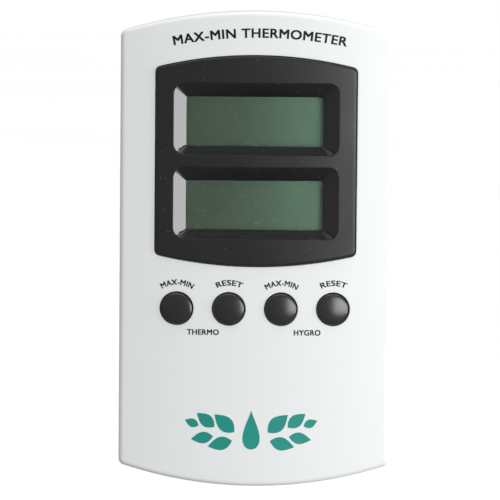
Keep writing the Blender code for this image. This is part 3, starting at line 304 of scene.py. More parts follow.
def turned_edge(centre_x, centre_z, radius, angle, side):
    """The edge point at an angle on an arc, which is mirrored downwards where side is -1."""
    out_x = math.cos(angle)
    out_z = side * math.sin(angle)
    return Edge(centre_x + radius * out_x, centre_z + radius * out_z, out_x, out_z)


def with_side_points(edges):
    """The same outline with its long straight sides divided."""
    result = []
    for index, edge in enumerate(edges):
        following = edges[(index + 1) % len(edges)]
        result.append(edge)
        run = Vector((following.x - edge.x, following.z - edge.z))
        if run.length > LONG_SIDE:
            for step in range(1, SIDE_STEPS):
                share = step / SIDE_STEPS
                place = (edge.x + run.x * share, edge.z + run.y * share)
                result.append(Edge(*place, edge.out_x, edge.out_z))
    return result


def circle_outline(centre_x, centre_z, radius):
    """A hole's rim, whose outward direction is away from the material."""
    edges = []
    for step in range(ROUND_STEPS):
        angle = 2 * math.pi * step / ROUND_STEPS
        out_x, out_z = math.cos(angle), math.sin(angle)
        edges.append(Edge(centre_x + radius * out_x, centre_z + radius * out_z, -out_x, -out_z))
    return edges


def window_outline(width, height, corner, centre_x, centre_z):
    """A rounded rectangle, always with the same number of points, as the rim of a hole."""
    edges = []
    half = (width / 2 - corner, height / 2 - corner)
    signs = ((1, 1), (-1, 1), (-1, -1), (1, -1))
    for quarter, (sign_x, sign_z) in enumerate(signs):
        for step in range(CORNER_STEPS + 1):
            angle = math.radians(90.0) * (quarter + step / CORNER_STEPS)
            out_x, out_z = math.cos(angle), math.sin(angle)
            x = centre_x + sign_x * half[0] + corner * out_x
            z = centre_z + sign_z * half[1] + corner * out_z
            edges.append(Edge(x, z, -out_x, -out_z))
        next_x, next_z = signs[(quarter + 1) % 4]
        steps = SIDE_STEPS if sign_z == next_z else SIDE_STEPS // 2
        angle = math.radians(90.0) * (quarter + 1)
        out_x, out_z = math.cos(angle), math.sin(angle)
        for step in range(1, steps):
            share = step / steps
            x = centre_x + half[0] * (sign_x + (next_x - sign_x) * share) + corner * out_x
            z = centre_z + half[1] * (sign_z + (next_z - sign_z) * share) + corner * out_z
            edges.append(Edge(x, z, -out_x, -out_z))
    return edges


def face_y(apex, x):
    """The bulging front at x, for a face whose apex is at that depth."""
    radius = FACE_RADIUS + CASE_FRONT - apex
    return apex + radius - math.sqrt(radius * radius - x * x)


# ---------------------------------------------------------------- building meshes

def ring(shape, outline, inset, depth):
    """A ring of vertices inset from an outline; depth is a y, or a function of x and z that gives it."""
    verts = []
    for edge in outline:
        x = edge.x - inset * edge.out_x
        z = edge.z - inset * edge.out_z
        y = depth(x, z) if callable(depth) else depth
        verts.append(shape.verts.new((x, y, z)))
    return verts


def bridge(shape, rings):
    """Quads between each ring and the next; the new faces are given back in order."""
    faces = []
    for first, second in zip(rings, rings[1:]):
        for index in range(len(first)):
            after = (index + 1) % len(first)
            faces.append(shape.faces.new((first[index], first[after], second[after], second[index])))
    return faces


def fill(shape, border, holes, depth, spots=()):
    """Triangles from the border ring to the hole rings, through the spots between them."""
    verts = []
    owners = []
    constraints = []
    for owner, loop in enumerate([border] + holes):
        start = len(verts)
        verts += loop
        owners += [owner] * len(loop)
        constraints += [(start + i, start + (i + 1) % len(loop)) for i in range(len(loop))]
    for x, z in spots:
        verts.append(shape.verts.new((x, depth(x, z) if callable(depth) else depth, z)))
        owners.append(-1)
    points = [Vector((vert.co.x, vert.co.z)) / MM for vert in verts]
    cut = geometry.delaunay_2d_cdt(points, constraints, [], WHOLE_HULL, CUT_TOLERANCE, True)
    _, _, triangles, sources, _, _ = cut
    for triangle in triangles:
        corners = [sources[corner][0] for corner in triangle]
        owner = owners[corners[0]]
        if owner > 0 and all(owners[corner] == owner for corner in corners):
            continue
        shape.faces.new([verts[corner] for corner in corners])


def field_spots(outline, holes, margin):
    """An even field of spots inside an outline, clear of its edge and of the holes by a margin."""
    pitch_x, pitch_z = FIELD_PITCH
    count_x = int(max(edge.x for edge in outline) / pitch_x)
    lowest = min(edge.z for edge in outline)
    count_z = int((max(edge.z for edge in outline) - lowest) / pitch_z)
    spots = []
    for column in range(-count_x, count_x + 1):
        for row in range(1, count_z):
            x = column * pitch_x
            z = lowest + row * pitch_z
            if all(clearance(rim, x, z) < -margin for rim in [outline] + holes):
                spots.append((x, z))
    return spots


def clearance(outline, x, z):
    """How far past the nearest edge a spot is, along that edge's outward direction."""
    nearest = min(outline, key=lambda edge: (edge.x - x) ** 2 + (edge.z - z) ** 2)
    return (x - nearest.x) * nearest.out_x + (z - nearest.z) * nearest.out_z


def rounded_rim(shape, outline, radius, steps, depth):
    """Rings that turn from the wall to the face, with one more ring to hold the face's shading."""
    rings = []
    for step in range(steps + 1):
        angle = math.radians(90.0) * step / steps
        inset = radius * (1 - math.cos(angle))
        drop = radius * (1 - math.sin(angle))
        rings.append(ring(shape, outline, inset, lambda x, z: depth(x, z) + drop))
    rings.append(ring(shape, outline, radius + SUPPORT, depth))
    return rings


def curve_between(start, knee, end, steps):
    """Points on a smooth turn from start to end that leans towards the knee."""
    points = []
    for step in range(steps + 1):
        t = step / steps
        points.append(start * (1 - t) ** 2 + knee * 2 * t * (1 - t) + end * t ** 2)
    return points


def new_piece(name, shape, materials, body, nodes=(), sharp=SHARP_ANGLE):
    """Closes off a bmesh as a piece that rides on a body and stands for the CAD nodes it names."""
    bmesh.ops.recalc_face_normals(shape, faces=shape.faces)
    mesh = bpy.data.meshes.new(name)
    shape.to_mesh(mesh)
    shape.free()
    mesh.shade_smooth()
    mesh.set_sharp_from_angle(angle=math.radians(sharp))
    for material in materials:
        mesh.materials.append(material)
    piece = bpy.data.objects.new(name, mesh)
    bpy.context.scene.collection.objects.link(piece)
    piece.location = CASE_MIDDLE
    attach(piece, body)
    if nodes:
        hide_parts(*nodes)
    return piece


# ---------------------------------------------------------------- front cover and bezel

def case_outline():
    return barrel_outline(
        CASE_HALF_WIDTH, CASE_HALF_HEIGHT, -CASE_HALF_HEIGHT, END_RADIUS, END_RADIUS, CASE_CORNER
    )


def bezel_outline(grown=0.0):
    return barrel_outline(
        BEZEL_HALF_WIDTH + grown,
        BEZEL_TOP + grown,
        BEZEL_BOTTOM - grown,
        BEZEL_TOP_RADIUS + grown,
        BEZEL_BOTTOM_RADIUS + grown,
        BEZEL_CORNER + grown,
    )


def make_front_cover(material):
    shape = bmesh.new()
    outline = case_outline()
    opening = [
        Edge(edge.x, edge.z, -edge.out_x, -edge.out_z) for edge in bezel_outline(BEZEL_SEAM)
    ]
    holes = [opening] + [circle_outline(x, BUTTON_Z, BUTTON_HOLE_RADIUS) for x in BUTTON_X.values()]

    def front(x, z):
        return face_y(CASE_FRONT, x)

    def inner(x, z):
        return face_y(CASE_FRONT, x) + FRONT_WALL

    rim = rounded_rim(shape, outline, CASE_RIM, RIM_STEPS, front)
    seam = []
    for step in range(EDGE_STEPS + 1):
        angle = math.radians(90.0) * step / EDGE_STEPS
        inset = SEAM_EDGE * (1 - math.cos(angle))
        seam.append(ring(shape, outline, inset, PARTING_Y - SEAM_EDGE * (1 - math.sin(angle))))
    lip = [
        ring(shape, outline, LIP_WALL, PARTING_Y),
        ring(shape, outline, LIP_WALL, PARTING_Y - LIP_STEP),
        ring(shape, outline, SIDE_WALL, PARTING_Y - LIP_STEP),
        ring(shape, outline, SIDE_WALL, inner),
    ]
    bridge(shape, list(reversed(rim)) + seam + lip)
    hole_tops = []
    hole_ends = []
    for hole in holes:
        edge = rounded_rim(shape, hole, HOLE_EDGE, EDGE_STEPS, front)
        end = ring(shape, hole, 0.0, inner)
        bridge(shape, [end] + edge)
        hole_tops.append(edge[-1])
        hole_ends.append(end)
    spots = field_spots(outline, holes, CASE_MARGIN)
    fill(shape, rim[-1], hole_tops, front, spots)
    fill(shape, lip[-1], hole_ends, inner, spots)
    return new_piece(
        "front_cover_shell", shape, [material], "case", ["front_cover"]
    )


def view_outline(level):
    """The clear view inside a window's bevels, which lean more on some sides than on others."""
    width = WINDOW_SIZE[0] - BEVEL_LEFT - BEVEL_RIGHT
    height = WINDOW_SIZE[1] - BEVEL_TOP - BEVEL_BOTTOM
    centre_x = (BEVEL_LEFT - BEVEL_RIGHT) / 2
    centre_z = WINDOWS[level] + (BEVEL_BOTTOM - BEVEL_TOP) / 2
    return window_outline(width, height, VIEW_CORNER, centre_x, centre_z)


def bevel_share(x, z):
    """How far down the four flat bevels a spot in a window is, from 0 at the face to 1 at the view."""
    half_width, half_height = (size / 2 for size in WINDOW_SIZE)
    shares = (
        (x + half_width) / BEVEL_LEFT,
        (half_width - x) / BEVEL_RIGHT,
        (z + half_height) / BEVEL_BOTTOM,
        (half_height - z) / BEVEL_TOP,
    )
    return max(min(shares), 0.0)


def window_rings(shape, level):
    """The bevels of a window, from the face to the pocket behind it; gives its first and last rings.

    The left and right bevels are polished.
    """
    outer = window_outline(*WINDOW_SIZE, WINDOW_CORNER, 0.0, WINDOWS[level])
    inner = view_outline(level)
    columns = []
    for high, low in zip(outer, inner):
        face = Vector((high.x, face_y(BEZEL_FRONT, high.x), high.z))
        floor = Vector((low.x, VIEW_Y, low.z))
        back = Vector((high.x - WINDOW_EDGE * high.out_x, 0.0, high.z - WINDOW_EDGE * high.out_z))
        back.y = face_y(BEZEL_FRONT, back.x)
        drop = bevel_share(high.x, high.z - WINDOWS[level]) * (VIEW_Y - face.y)
        shoulder = face + Vector((0.0, WINDOW_EDGE / 2 + drop, 0.0))
        slope = (floor - shoulder).normalized()
        top = curve_between(back, face, shoulder, EDGE_STEPS)
        wall = Vector((low.x, VIEW_Y + VIEW_EDGE, low.z))
        foot = curve_between(floor - slope * VIEW_EDGE, floor, wall, EDGE_STEPS)
        columns.append(top + foot)
    support = ring(shape, outer, WINDOW_EDGE + SUPPORT, lambda x, z: face_y(BEZEL_FRONT, x))
    rings = [support]
    for index in range(len(columns[0])):
        rings.append([shape.verts.new(column[index]) for column in columns])
    lip = ring(shape, inner, 0.0, POCKET_FRONT)
    pocket = window_outline(*POCKET_SIZE, VIEW_EDGE, 0.0, WINDOWS[level])
    pocket_front = ring(shape, pocket, 0.0, POCKET_FRONT)
    pocket_back = ring(shape, pocket, 0.0, BEZEL_BACK)
    top_rings = rings[:EDGE_STEPS + 2]
    foot_rings = rings[EDGE_STEPS + 2:]
    bridge(shape, top_rings)
    slopes = bridge(shape, [top_rings[-1], foot_rings[0]])
    for edge, slope_face in zip(outer, slopes):
        if abs(edge.out_x) > abs(edge.out_z):
            slope_face.material_index = POLISHED
    bridge(shape, foot_rings + [lip, pocket_front, pocket_back])
    return support, pocket_back


def make_bezel(satin, polished):
    shape = bmesh.new()
    outline = bezel_outline()

    def front(x, z):
        return face_y(BEZEL_FRONT, x)

    def flange_front(x, z):
        return face_y(CASE_FRONT, x) + FRONT_WALL + BEZEL_SEAM

    rim = rounded_rim(shape, outline, BEZEL_RIM, EDGE_STEPS + 1, front)
    flange = [
        ring(shape, outline, 0.0, flange_front),
        ring(shape, outline, -BEZEL_FLANGE, flange_front),
        ring(shape, outline, -BEZEL_FLANGE, BEZEL_BACK),
    ]
    bridge(shape, list(reversed(rim)) + flange)
    tops = []
    backs = []
    for level in WINDOWS:
        top, back = window_rings(shape, level)
        tops.append(top)
        backs.append(back)
    frames = [window_outline(*WINDOW_SIZE, WINDOW_CORNER, 0.0, height) for height in WINDOWS.values()]
    fill(shape, rim[-1], tops, front, field_spots(outline, frames, BEZEL_MARGIN))
    fill(shape, flange[-1], backs, BEZEL_BACK)
    return new_piece(
        "display_bezel_frame",
        shape,
        [satin, polished],
        "case",
        ["display_bezel"],
        BEZEL_SHARP_ANGLE,
    )


# ---------------------------------------------------------------- buttons

def lathe(shape, profile, place):
    """A closed turned solid along Y through a place; the profile is (radius, y) from pole to pole."""
    rings = []
    for radius, y in profile[1:-1]:
        verts = []
        for step in range(ROUND_STEPS):
            angle = 2 * math.pi * step / ROUND_STEPS
            turned = (place[0] + radius * math.cos(angle), y, place[1] + radius * math.sin(angle))
            verts.append(shape.verts.new(turned))
        rings.append(verts)
    bridge(shape, rings)
    for (radius, y), verts in ((profile[0], rings[0]), (profile[-1], rings[-1])):
        pole = shape.verts.new((place[0], y, place[1]))
        for index in range(ROUND_STEPS):
            shape.faces.new((pole, verts[index], verts[(index + 1) % ROUND_STEPS]))


def make_button(name, x, material):
    """A cap whose slightly domed crown leans with the face, on the flange and stem of the CAD cap."""
    face = face_y(CASE_FRONT, x)
    top = face - BUTTON_PROUD
    flange = face_y(CASE_FRONT + FRONT_WALL, abs(x) + BUTTON_FLANGE_RADIUS) + BEZEL_SEAM
    crown_radius = BUTTON_RADIUS - BUTTON_ROUND
    profile = [(0.0, top)]
    for step in range(1, CROWN_STEPS + 1):
        share = step / CROWN_STEPS
        profile.append((crown_radius * share, top + BUTTON_CROWN * share ** 2))
    lean = math.atan2(2 * BUTTON_CROWN, crown_radius)
    start = Vector((crown_radius, top + BUTTON_CROWN))
    knee = Vector((BUTTON_RADIUS, top + BUTTON_CROWN + BUTTON_ROUND * math.tan(lean)))
    end = Vector((BUTTON_RADIUS, knee.y + BUTTON_ROUND))
    profile += [tuple(point) for point in curve_between(start, knee, end, RIM_STEPS)[1:]]
    profile += [
        (BUTTON_RADIUS, flange),
        (BUTTON_FLANGE_RADIUS, flange),
        (BUTTON_FLANGE_RADIUS, flange + BUTTON_FLANGE),
        (BUTTON_STEM_RADIUS, flange + BUTTON_FLANGE),
        (BUTTON_STEM_RADIUS, STEM_END),
        (0.0, STEM_END),
    ]
    shape = bmesh.new()
    lathe(shape, profile, (x, BUTTON_Z))
    slope = x / math.sqrt(FACE_RADIUS ** 2 - x ** 2)
    for vert in shape.verts:
        if vert.co.y < face:
            vert.co.y += slope * (vert.co.x - x)
    return new_piece(
        f"{name}_cap", shape, [material], f"{name}_key", [f"{name}_button"]
    )


# ---------------------------------------------------------------- print

def wrapped(shape, place):
    """Moves a flat print shape (x, y up, z thickness) on to the bulging front with the place function."""
    for vert in shape.verts:
        x, z = place(vert.co.x, vert.co.y)
        lift = INK_THICKNESS * vert.co.z / FLAT_HALF if vert.co.z > 0 else -INK_SUNK
        vert.co = (x, face_y(CASE_FRONT, x) - lift, z)


def text_shape(text):
    """Bold closed solid letters, 1 wide in all and 1 high, on a baseline at y = 0, centred on x = 0.

    The boldness comes from four copies of the thin letters, shifted four ways and stepped in thickness.
    """
    curve = bpy.data.curves.new("print_text", "FONT")
    curve.body = text
    curve.align_x = "CENTER"
    curve.space_character = TEXT_SPACING
    curve.resolution_u = TEXT_STEPS
    curve.extrude = FLAT_HALF
    item = bpy.data.objects.new("print_text", curve)
    bpy.context.scene.collection.objects.link(item)
    graph = bpy.context.evaluated_depsgraph_get()
    mesh = bpy.data.meshes.new_from_object(item.evaluated_get(graph))
    shape = bmesh.new()
    for step, (right_shift, up_shift) in enumerate(((1, 1), (1, -1), (-1, 1), (-1, -1))):
        known = len(shape.verts)
        shape.from_mesh(mesh)
        shape.verts.ensure_lookup_table()
        for vert in shape.verts[known:]:
            vert.co.x += right_shift * TEXT_WEIGHT
            vert.co.y += up_shift * TEXT_WEIGHT * CAPITAL_HEIGHT
            vert.co.z *= 1.0 + step * TEXT_LAYER
    bmesh.ops.remove_doubles(shape, verts=shape.verts, dist=TEXT_WELD)
    left = min(vert.co.x for vert in shape.verts)
    right = max(vert.co.x for vert in shape.verts)
    for vert in shape.verts:
        vert.co.x = (vert.co.x - (left + right) / 2) / (right - left)
        vert.co.y /= CAPITAL_HEIGHT
    bpy.data.objects.remove(item, do_unlink=True)
    bpy.data.curves.remove(curve)
    bpy.data.meshes.remove(mesh)
    return shape


def along_arc(centre, radius, width, height):
    """A place function that bends a baseline round a circle, with the letters outside it."""
    def place(u, v):
        angle = u * width / radius
        reach = radius + v * height
        return centre[0] + reach * math.sin(angle), centre[1] + reach * math.cos(angle)
    return place


def along_line(centre, width, height):
    """A place function for a straight baseline whose middle is at the centre."""
    def place(u, v):
        return centre[0] + u * width, centre[1] + v * height
    return place


def make_print(name, shape, place, material):
    wrapped(shape, place)
    return new_piece(name, shape, [material], "case")


def make_labels(ink):
    title_centre = (TITLE_MIDDLE, TITLE_BASE - TITLE_RADIUS)
    title = along_arc(title_centre, TITLE_RADIUS, TITLE_WIDTH, TITLE_HEIGHT)
    make_print("title_print", text_shape("MAX-MIN THERMOMETER"), title, ink)
    for name, x in BUTTON_X.items():
        words = "MAX-MIN" if name.endswith("max_min") else "RESET"
        centre = (x + LABEL_SHIFT, BUTTON_Z + LABEL_BASE - LABEL_RADIUS)
        arc = along_arc(centre, LABEL_RADIUS, LABEL_WIDTHS[words], LABEL_HEIGHT)
        make_print(f"{name}_print", text_shape(words), arc, ink)
    for circuit in ("thermo", "hygro"):
        x = (BUTTON_X[f"{circuit}_max_min"] + BUTTON_X[f"{circuit}_reset"]) / 2
        words = circuit.upper()
        centre = (x + LABEL_SHIFT, BUTTON_Z - LABEL_DROP)
        line = along_line(centre, LABEL_WIDTHS[words], LABEL_HEIGHT)
        make_print(f"{circuit}_print", text_shape(words), line, ink)


def leaf_outline(root, length, half_width, angle):
    """A pointed leaf from its root, leaning at an angle."""
    turn = Matrix.Rotation(math.radians(angle), 2)
    points = []
    for side in (1, -1):
        for step in range(LEAF_STEPS):
            share = step / LEAF_STEPS if side > 0 else 1 - step / LEAF_STEPS
            bulge = math.sin(math.pi * share ** LEAF_SKEW)
            points.append(Vector(root) + turn @ Vector((length * share, side * half_width * bulge)))
    return points


def drop_outline():
    """A drop with its point up, in millimetres about its middle."""
    width, height = (size / MM for size in DROP_SIZE)
    points = []
    for step in range(DROP_STEPS):
        angle = 2 * math.pi * step / DROP_STEPS
        narrowing = math.sin(angle / 2) ** DROP_NARROWING
        points.append(Vector((width * math.sin(angle) * narrowing, height * math.cos(angle))))
    return points


def flat_solid(outlines):
    """Flat closed solids about z = 0, one from each outline."""
    shape = bmesh.new()
    for outline in outlines:
        low = [shape.verts.new((point.x, point.y, -FLAT_HALF)) for point in outline]
        high = [shape.verts.new((point.x, point.y, FLAT_HALF)) for point in outline]
        bridge(shape, [low, high])
        for loop in (low, high):
            points = [vert.co for vert in loop]
            for triangle in geometry.tessellate_polygon([points]):
                shape.faces.new([loop[corner] for corner in triangle])
    return shape


def make_emblem(teal):
    centre = along_line(EMBLEM_PLACE, MM, MM)
    make_print("emblem_drop", flat_solid([drop_outline()]), centre, teal)
    for side, word in ((-1, "left"), (1, "right")):
        for index, (root, length, half_width, angle) in enumerate(LEAVES):
            leaf = [Vector((side * p.x, p.y)) for p in leaf_outline(root, length, half_width, angle)]
            name = f"emblem_{word}_leaf_{index + 1}"
            make_print(name, flat_solid([leaf]), centre, teal)


# ---------------------------------------------------------------- materials

class Finish:
    """A Principled material whose colour, roughness and bump come from noise at real scale."""

    def __init__(self, name, colour, roughness, metallic=0.0, coat=0.0, specular=0.5):
        self.material = bpy.data.materials.new(name)
        self.material.use_nodes = True
        self.tree = self.material.node_tree
        self.shader = self.tree.nodes["Principled BSDF"]
        self.shader.inputs["Metallic"].default_value = metallic
        self.shader.inputs["Specular IOR Level"].default_value = specular
        self.shader.inputs["Coat Weight"].default_value = coat
        self.shader.inputs["Coat Roughness"].default_value = COAT_ROUGHNESS
        self.place = self.node("ShaderNodeTexCoord").outputs["Object"]
        self.colour = colour
        self.roughness = roughness
        self.height = None

    def node(self, kind, **settings):
        made = self.tree.nodes.new(kind)
        for key, value in settings.items():
            setattr(made, key, value)
        return made

    def noise(self, size, detail=3.0, rough=0.5):
        """Noise whose features are about this size in metres."""
        texture = self.node("ShaderNodeTexNoise")
        texture.inputs["Scale"].default_value = 1.0 / size
        texture.inputs["Detail"].default_value = detail
        texture.inputs["Roughness"].default_value = rough
        self.tree.links.new(self.place, texture.inputs["Vector"])
        return texture.outputs["Fac"]

    def turned(self):
        """The place turned so that its X and Y run along the front face."""
        mapping = self.node("ShaderNodeMapping")
        mapping.inputs["Rotation"].default_value = (math.radians(90.0), 0.0, 0.0)
        self.tree.links.new(self.place, mapping.inputs["Vector"])
        return mapping.outputs["Vector"]

    def ranged(self, value, low, high, span=GRAIN_SPAN, ramp="LINEAR"):
        """A value spread from low to high as the input goes through its span."""
        remap = self.node("ShaderNodeMapRange", interpolation_type=ramp)
        remap.inputs["From Min"].default_value = span[0]
        remap.inputs["From Max"].default_value = span[1]
        remap.inputs["To Min"].default_value = low
        remap.inputs["To Max"].default_value = high
        self.tree.links.new(value, remap.inputs["Value"])
        return remap.outputs["Result"]

    def feed(self, socket, value):
        """Links another node's output to a socket, or sets the socket's own number or colour."""
        if isinstance(value, bpy.types.NodeSocket):
            self.tree.links.new(value, socket)
        elif isinstance(value, float):
            socket.default_value = value
        else:
            socket.default_value = (*value, 1.0)

    def mixed(self, share, first, second):
        """A colour between two, which may be colours or sockets."""
        mix = self.node("ShaderNodeMix", data_type="RGBA")
        self.tree.links.new(share, mix.inputs["Factor"])
        for index, value in zip(MIX_COLOURS, (first, second)):
            self.feed(mix.inputs[index], value)
        return mix.outputs[MIX_RESULT]

    def vary_colour(self, size, amount, tint=None):
        """Uneven colour: from a little darker to a little lighter, or a mixed colour towards a tint."""
        if isinstance(self.colour, bpy.types.NodeSocket):
            self.colour = self.mixed(self.ranged(self.noise(size), 0.0, amount), self.colour, tint)
            return
        share = self.ranged(self.noise(size), 0.0, 1.0, NOISE_SPAN, "SMOOTHSTEP")
        dark = [channel * (1 - amount) for channel in self.colour]
        light = [min(channel * (1 + amount), 1.0) for channel in self.colour]
        self.colour = self.mixed(share, dark, light)

    def specks(self, size, share, tint):
        """Sparse specks of dust on a front face, about this size."""
        cells = self.node("ShaderNodeTexVoronoi", voronoi_dimensions="2D")
        cells.inputs["Scale"].default_value = 1.0 / (size * SPECK_SPACING)
        self.tree.links.new(self.turned(), cells.inputs["Vector"])
        near = self.ranged(cells.outputs["Distance"], 1.0, 0.0, SPECK_EDGE)
        rare = self.ranged(self.noise(size * SPECK_PATCH), 0.0, share, SPECK_RARITY)
        both = self.node("ShaderNodeMath", operation="MULTIPLY")
        self.tree.links.new(near, both.inputs[0])
        self.tree.links.new(rare, both.inputs[1])
        self.colour = self.mixed(both.outputs[0], self.colour, tint)

    def vary_roughness(self, size, amount):
        """Uneven gloss, by this much either way."""
        low = max(self.roughness - amount, LEAST_ROUGHNESS)
        high = self.roughness + amount
        self.roughness = self.ranged(self.noise(size, 1.0), low, high, NOISE_SPAN, "SMOOTHSTEP")

    def bump(self, size, depth, detail=2.0):
        """Adds a bump of this feature size and depth, in metres."""
        made = self.node("ShaderNodeBump")
        made.inputs["Strength"].default_value = 1.0
        made.inputs["Distance"].default_value = depth
        self.tree.links.new(self.noise(size, detail), made.inputs["Height"])
        if self.height is not None:
            self.tree.links.new(self.height, made.inputs["Normal"])
        self.height = made.outputs["Normal"]

    def done(self):
        """Links what has been made to the shader, and gives back the material."""
        self.feed(self.shader.inputs["Base Color"], self.colour)
        self.feed(self.shader.inputs["Roughness"], self.roughness)
        if self.height is not None:
            self.tree.links.new(self.height, self.shader.inputs["Normal"])
        return self.material


def plastic(
    name,
    colour,
    roughness,
    grain=0.4 * MM,
    depth=0.004 * MM,
    sink=0.012 * MM,
    specular=0.5,
    uneven=0.03,
    gloss_change=0.04,
    dust=0.0,
):
    """Moulded plastic: a fine grain, slow waves, slightly uneven gloss and colour, and any dust."""
    finish = Finish(name, colour, roughness, specular=specular)
    finish.vary_colour(COLOUR_WAVE, uneven)
    if dust > 0.0:
        finish.specks(CASE_DUST, dust, DUST)
    finish.vary_roughness(GLOSS_WAVE, gloss_change)
    finish.bump(SINK_WAVE, sink, 1.0)
    finish.bump(grain, depth)
    return finish.done()


def metal(name, colour, roughness):
    """Plated metal with a fine grain."""
    finish = Finish(name, colour, roughness, metallic=1.0)
    finish.vary_colour(2.0 * MM, 0.12)
    finish.vary_roughness(1.2 * MM, 0.08)
    finish.bump(0.25 * MM, 0.004 * MM, 3.0)
    return finish.done()


def lcd_panel(name):
    """An unpowered reflective panel: green-grey, lighter to the right by a painted reflection of the
    lamps, with a fine grain and dust.
    """
    finish = Finish(name, LCD_LEFT, 0.38, specular=0.2)
    axes = finish.node("ShaderNodeSeparateXYZ")
    finish.tree.links.new(finish.place, axes.inputs[0])
    # Painted reflection: the colour lightens towards the right, standing in for the lamps' reflection on
    # the panel.
    across = finish.ranged(axes.outputs["X"], 0.0, 1.0, (-PAINTED_SHEEN_FADE, PAINTED_SHEEN_FADE))
    painted_sheen = finish.node("ShaderNodeMath", operation="MULTIPLY")
    finish.tree.links.new(across, painted_sheen.inputs[0])
    finish.tree.links.new(across, painted_sheen.inputs[1])
    finish.colour = finish.mixed(painted_sheen.outputs[0], LCD_LEFT, LCD_PAINTED_SHEEN)
    grain = finish.ranged(finish.noise(0.25 * MM, 4.0, 0.7), 0.0, 0.10)
    finish.colour = finish.mixed(grain, finish.colour, LCD_GRAIN)
    finish.vary_colour(7.0 * MM, 0.14, LCD_PATCH)
    finish.specks(PANEL_DUST, 0.9, DUST)
    finish.bump(0.3 * MM, 0.0006 * MM)
    return finish.done()


def clear_lens(name):
    """Clear plastic that lets the lamps' light through to the panel behind it."""
    finish = Finish(name, (0.96, 0.985, 0.97), 0.03)
    finish.shader.inputs["Transmission Weight"].default_value = 1.0
    finish.shader.inputs["IOR"].default_value = LENS_INDEX
    finish.bump(12.0 * MM, 0.01 * MM, 1.0)
    material = finish.done()
    tree = material.node_tree
    clear = tree.nodes.new("ShaderNodeBsdfTransparent")
    clear.inputs["Color"].default_value = (*LENS_SHADOW, 1.0)
    rays = tree.nodes.new("ShaderNodeLightPath")
    mix = tree.nodes.new("ShaderNodeMixShader")
    tree.links.new(rays.outputs["Is Shadow Ray"], mix.inputs["Fac"])
    tree.links.new(finish.shader.outputs["BSDF"], mix.inputs[1])
    tree.links.new(clear.outputs["BSDF"], mix.inputs[2])
    tree.links.new(mix.outputs["Shader"], tree.nodes["Material Output"].inputs["Surface"])
    return material


def board_finish(name):
    """Green solder mask with faint copper tracks under it."""
    finish = Finish(name, BOARD_MASK, 0.30, coat=0.3)
    tracks = finish.node("ShaderNodeTexBrick")
    tracks.inputs["Scale"].default_value = TRACK_SCALE
    tracks.inputs["Mortar Size"].default_value = TRACK_WIDTH
    tracks.inputs["Color1"].default_value = (0.0, 0.0, 0.0, 1.0)
    tracks.inputs["Color2"].default_value = (0.0, 0.0, 0.0, 1.0)
    tracks.inputs["Mortar"].default_value = (1.0, 1.0, 1.0, 1.0)
    finish.tree.links.new(finish.turned(), tracks.inputs["Vector"])
    finish.colour = finish.mixed(tracks.outputs["Color"], BOARD_MASK, BOARD_TRACK)
    finish.vary_roughness(3.0 * MM, 0.05)
    finish.bump(0.5 * MM, 0.006 * MM)
    return finish.done()


def battery_jacket(name):
    """A printed metal sleeve: a dark body, a copper-coloured band at the plus end, bare ends."""
    finish = Finish(name, SLEEVE_DARK, 0.24, metallic=0.5, coat=0.4)
    axes = finish.node("ShaderNodeSeparateXYZ")
    finish.tree.links.new(finish.place, axes.inputs[0])
    low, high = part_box("battery_cell")
    band_x = high.x - CELL_BAND
    nub_x = high.x - CELL_NUB
    tail_x = low.x + CELL_TAIL
    band = finish.ranged(axes.outputs["X"], 0.0, 1.0, (band_x, band_x + 2 * CELL_EDGE))
    finish.colour = finish.mixed(band, SLEEVE_DARK, SLEEVE_COPPER)
    nub = finish.ranged(axes.outputs["X"], 0.0, 1.0, (nub_x, nub_x + CELL_EDGE))
    finish.colour = finish.mixed(nub, finish.colour, CELL_METAL)
    tail = finish.ranged(axes.outputs["X"], 1.0, 0.0, (tail_x - CELL_EDGE, tail_x))
    finish.colour = finish.mixed(tail, finish.colour, CELL_METAL)
    finish.vary_roughness(3.0 * MM, 0.05)
    finish.bump(1.2 * MM, 0.004 * MM)
    return finish.done()


def layered_rubber(name):
    """Alternate thin conducting and insulating layers across the strip."""
    finish = Finish(name, RUBBER_PINK, 0.55)
    layers = finish.node("ShaderNodeTexWave", wave_type="BANDS", bands_direction="X")
    layers.inputs["Scale"].default_value = LAYER_SCALE
    finish.tree.links.new(finish.place, layers.inputs["Vector"])
    finish.colour = finish.mixed(layers.outputs["Fac"], RUBBER_PINK, RUBBER_BLACK)
    finish.bump(0.4 * MM, 0.01 * MM)
    return finish.done()


def paint_cad_nodes(finishes):
    """Gives each CAD node the finish of its material slot in the record."""
    for part in frame["record"]["subparts"]:
        node = frame["nodes"][part["node"]]
        node.data.materials.clear()
        node.data.materials.append(finishes[part["material_slot"]])
        smooth_over(node)


def smooth_over(node):
    """Shades a CAD node's round faces smooth, and keeps or rounds its edges, without changing its mesh."""
    weld = node.modifiers.new("weld", "WELD")
    weld.merge_threshold = WELD_DISTANCE
    if node.name in ROUNDED_EDGES:
        flat = node.modifiers.new("flat_faces", "DECIMATE")
        flat.decimate_type = "DISSOLVE"
        flat.angle_limit = FLAT_ANGLE
        edges = node.modifiers.new("round_edges", "BEVEL")
        edges.width = ROUNDED_EDGES[node.name]
        edges.segments = ROUNDED_STEPS
        edges.limit_method = "ANGLE"
        edges.angle_limit = ROUNDED_ANGLE
        edges.harden_normals = True
    else:
        split = node.modifiers.new("split_edges", "EDGE_SPLIT")
        split.split_angle = SMOOTH_ANGLE
        split.use_edge_sharp = False
    node.modifiers.new("weighted_normals", "WEIGHTED_NORMAL")


# ---------------------------------------------------------------- stage

